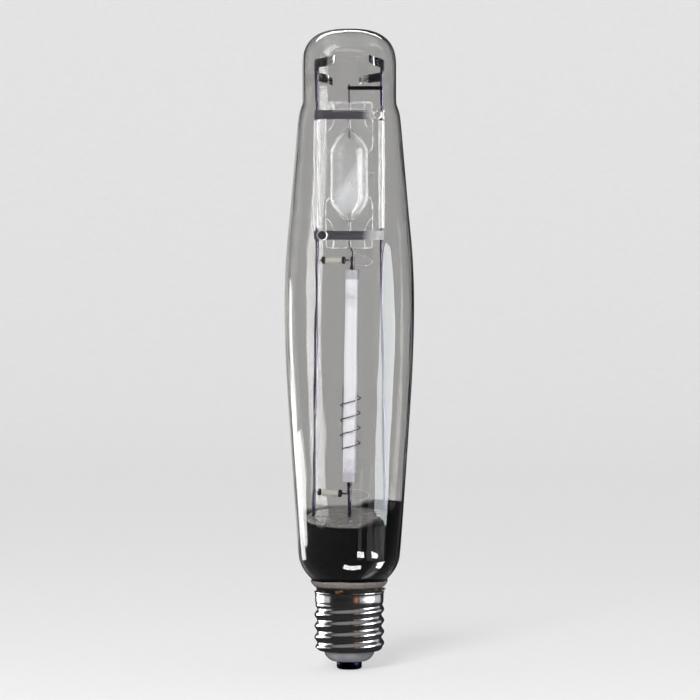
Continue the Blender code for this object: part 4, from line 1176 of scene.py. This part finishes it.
def make_stage(looks):
    """A pale floor that curves up into a wall all the way round."""
    wall_r, sweep, high, floor_z, steps = 3600.0, 1400.0, 4200.0, -0.2, 12
    profile = [(0.0, floor_z), (400.0, floor_z), (1200.0, floor_z)]
    for k in range(steps + 1):
        angle = math.pi / 2 * k / steps
        profile.append((wall_r - sweep + sweep * math.sin(angle), floor_z + sweep - sweep * math.cos(angle)))
    profile.append((wall_r, high))
    outside = [(wall_r + 20, high), (wall_r + 20, -30.0), (0.0, -30.0)]
    lathe("studio_sweep", [*profile, *outside], looks["floor"], 96)


def area_light(name, place, facing, wide, tall, radiance, colour=(1, 1, 1), shape="RECTANGLE"):
    """A soft light seen only by the surfaces it lights or shines in. Its strength is its radiance."""
    light = bpy.data.lights.new(name, "AREA")
    light.shape = shape
    light.size, light.size_y = wide * MM, tall * MM
    area = wide * tall * MM * MM * (math.pi / 4 if shape == "ELLIPSE" else 1.0)
    light.energy = radiance * math.pi * area
    light.color = colour
    obj = bpy.data.objects.new(name, light)
    obj.location = Vector(place) * MM
    obj.rotation_euler = (Vector(facing) - Vector(place)).to_track_quat("-Z", "Y").to_euler()
    obj.visible_camera = False
    bpy.context.scene.collection.objects.link(obj)
    return obj


def round_the_lamp(azimuth, distance, z):
    """A point at an azimuth to the right of the camera's side of the lamp."""
    a = math.radians(azimuth)
    return Vector((distance * math.sin(a), -distance * math.cos(a), z))


def only_reflected(light, only=None, through_glass=False):
    """The light lights nothing: it is only mirrored, in all pieces or in one group of them."""
    light.visible_diffuse = False
    light.visible_transmission = through_glass
    if only:
        light.light_linking.receiver_collection = bpy.data.collections[only]


def reflected(name, azimuths, heights, distance, radiance, colour=(1, 1, 1), only=None, shape="ELLIPSE",
              through_glass=True):
    """An upright card that is only seen reflected, between two azimuths and two heights."""
    middle, half = sum(azimuths) / 2, (azimuths[1] - azimuths[0]) / 2
    z = sum(heights) / 2
    wide = 2 * distance * math.tan(math.radians(half))
    card = area_light(name, round_the_lamp(middle, distance, z), (0, 0, z), wide, heights[1] - heights[0],
                      radiance, colour, shape)
    only_reflected(card, only, through_glass)


def wall_at(z):
    """The bulb's radius at a height, and the slope of its side there."""
    side = catmull_rom(SIDE, 12)
    for low, high in zip(side, side[1:]):
        if low.y <= z <= high.y:
            slope = (high.x - low.x) / (high.y - low.y)
            return low.x + slope * (z - low.y), slope
    raise ValueError(z)


def glint(name, x, z, distance, wide, tall, radiance):
    """A small card placed where the camera sees it reflected in the bulb at x and z."""
    radius, slope = wall_at(z)
    y = -math.sqrt(radius ** 2 - x ** 2)
    normal = Vector((x / radius, y / radius, -slope)).normalized()
    point = Vector((x, y, z))
    ray = (point - camera_place()).normalized()
    away = ray - 2 * ray.dot(normal) * normal
    only_reflected(area_light(name, point + away * distance, point, wide, tall, radiance), "bulb_surfaces")


# What the polished base mirrors: (name, azimuths, radiance, colour).
BASE_CARDS = [
    ("left", (-134, -92), 3.2, (1.0, 1.0, 1.0)),
    ("left_soft", (-92, -66), 0.7, (0.93, 0.95, 1.0)),
    ("right_soft", (34, 52), 0.5, (0.93, 0.95, 1.0)),
    ("right", (52, 88), 2.4, (0.97, 0.96, 1.0)),
    ("right_back", (88, 124), 0.6, (0.93, 0.93, 1.0)),
    ("warm", (16, 28), 0.5, (1.0, 0.40, 0.20)),
]


# What the neck mirrors: (name, x and z on the bulb, distance, width, height, radiance).
NECK_GLINTS = [
    ("neck_window_one", 6.5, 65.5, 180, 60, 11, 24),
    ("neck_window_two", 14.0, 65.5, 180, 54, 12, 24),
    ("neck_window_three", 1.5, 58.2, 70, 56, 36, 24),
    ("neck_window_four", 17.3, 60.5, 90, 28, 34, 24),
    ("neck_streak_one", 6.0, 76.0, 180, 30, 90, 0.8),
    ("neck_streak_two", 12.0, 76.0, 180, 34, 90, 0.8),
]

# Cards above: (name, place, the height it faces, width, depth, radiance).
HIGH_CARDS = [
    ("crown_card", (-60, 560, 850), 340, 1000, 170, 8.0),
    ("shoulder_card", (0, -1100, 1060), 320, 1900, 240, 2.2),
    ("ceiling_card", (0, -150, 1250), 300, 2400, 1800, 0.4),
]


def make_lights():
    cool, bulb, base = (0.92, 0.97, 1.0), "bulb_surfaces", "base_surfaces"
    reflected("right_card", (52, 88), (-150, 310), 500, 9.0, cool, through_glass=False)
    reflected("left_back_card", (-133, -114), (-60, 226), 270, 4.0)
    reflected("left_neck_card", (-122, -97), (34, 112), 230, 5.0, only=bulb)
    reflected("left_rim_card", (-178, -140), (-40, 420), 700, 0.8, (1.0, 0.98, 0.9), bulb,
              through_glass=False)
    for name, azimuths, radiance, colour in BASE_CARDS:
        reflected(f"base_{name}_card", azimuths, (1, 110), 160, radiance, colour, base, "RECTANGLE")
    for name, azimuths, radiance in (("front", (6, 30), 9.0), ("left", (-84, -62), 7.0)):
        reflected(f"insulator_{name}_card", azimuths, (8, 13), 160, radiance, only="insulator_surface")
    for name, *where_and_size in NECK_GLINTS:
        glint(name, *where_and_size)
    for name, place, facing, wide, tall, radiance in HIGH_CARDS:
        only_reflected(area_light(name, place, (0, 0, facing), wide, tall, radiance, shape="ELLIPSE"), bulb)
    fill = area_light("front_fill", round_the_lamp(-14, 2200, 900), (0, 0, 180), 800, 800, 28.0)
    fill.visible_glossy = False
    fill.visible_transmission = False
    world = bpy.data.worlds.new("studio")
    bpy.context.scene.world = world
    world.use_nodes = True
    back = world.node_tree.nodes["Background"]
    back.inputs["Color"].default_value = (0.25, 0.25, 0.26, 1.0)
    back.inputs["Strength"].default_value = 1.0


def camera_place():
    rise = math.radians(CAMERA_RISE_DEG)
    return Vector((VIEW_X, -math.cos(rise) * CAMERA_FAR, VIEW_MIDDLE_Z + math.sin(rise) * CAMERA_FAR))


def make_camera():
    data = bpy.data.cameras.new("camera")
    data.lens, data.sensor_width = LENS, SENSOR
    data.clip_start, data.clip_end = 0.05, 20.0
    obj = bpy.data.objects.new("camera", data)
    obj.location = camera_place() * MM
    target = Vector((VIEW_X, 0, VIEW_MIDDLE_Z)) * MM
    obj.rotation_euler = (target - obj.location).to_track_quat("-Z", "Y").to_euler()
    bpy.context.scene.collection.objects.link(obj)
    bpy.context.scene.camera = obj


def make_looks():
    return {
        "bulb_glass": bulb_glass(),
        "quartz": quartz(),
        "quartz_edge_highlight": quartz_edge_highlight(),
        "stem_glass": stem_glass(),
        "deposit": deposit(),
        "getter_film": getter_film(),
        "nickel": nickel(),
        "contact_metal": contact_metal(),
        "vitrite": vitrite(),
        "cement": cement(),
        "solder": metal("solder_fine", (0.66, 0.55, 0.38), 0.32, 500.0, 0.2, 0.3),
        "shield_metal": shield_metal(),
        "strap_metal": strap_metal(),
        "spring_metal": spring_metal(),
        "rivet_metal": rivet_metal(),
        "black_metal": metal("black_metal_fine", (0.06, 0.055, 0.06), 0.2, 500.0),
        "rod_metal": rod_metal(),
        "bright_steel": metal("bright_steel_fine", (0.86, 0.85, 0.82), 0.2, 500.0, metallic=0.6),
        "loop_metal": metal("loop_metal_fine", (0.86, 0.85, 0.86), 0.2, 500.0, metallic=0.5),
        "coil_metal": metal("coil_metal_fine", (0.10, 0.08, 0.14), 0.25, 500.0),
        "niobium": metal("niobium_fine", (0.11, 0.10, 0.11), 0.16, 500.0),
        "tungsten": metal("tungsten_fine", (0.30, 0.30, 0.31), 0.42, 700.0),
        "foil": metal("foil_fine", (0.5, 0.5, 0.52), 0.3, 700.0),
        "copper": metal("copper_fine", (0.60, 0.36, 0.24), 0.35, 500.0),
        "alumina": alumina(),
        "plug": end_plug(),
        "ceramic": ceramic(),
        "floor": floor_look(),
    }


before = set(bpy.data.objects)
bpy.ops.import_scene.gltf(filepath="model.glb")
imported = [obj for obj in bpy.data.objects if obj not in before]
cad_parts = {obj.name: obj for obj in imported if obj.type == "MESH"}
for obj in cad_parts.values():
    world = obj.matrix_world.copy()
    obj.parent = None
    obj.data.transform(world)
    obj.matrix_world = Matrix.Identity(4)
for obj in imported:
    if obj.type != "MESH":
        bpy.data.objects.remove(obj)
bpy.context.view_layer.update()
make_camera()
LOOKS = make_looks()
make_bulb(LOOKS)
make_base(LOOKS)
make_lights()
make_stage(LOOKS)
make_shield(LOOKS)
make_frame(LOOKS)
make_halide_tube(LOOKS)
make_pinch_highlights(LOOKS)
make_halide_leads(LOOKS)
make_clamp("lower", CLAMP_Z[0], -1, LOOKS)
make_clamp("upper", CLAMP_Z[1], 1, LOOKS)
make_sleeves(LOOKS)
make_sodium_tube(LOOKS)
make_flex_loops(LOOKS)
make_insulator("upper", -8.9, UPPER_INSULATOR_Z, 0.0, 18.3, HPS_HEAD.x, LOOKS)
make_insulator("lower", -10.8, LOWER_INSULATOR_Z, 0.6, 19.95, 0.0, LOOKS)
dress_hidden_nodes(LOOKS)
bpy.context.scene.view_settings.view_transform = "Standard"
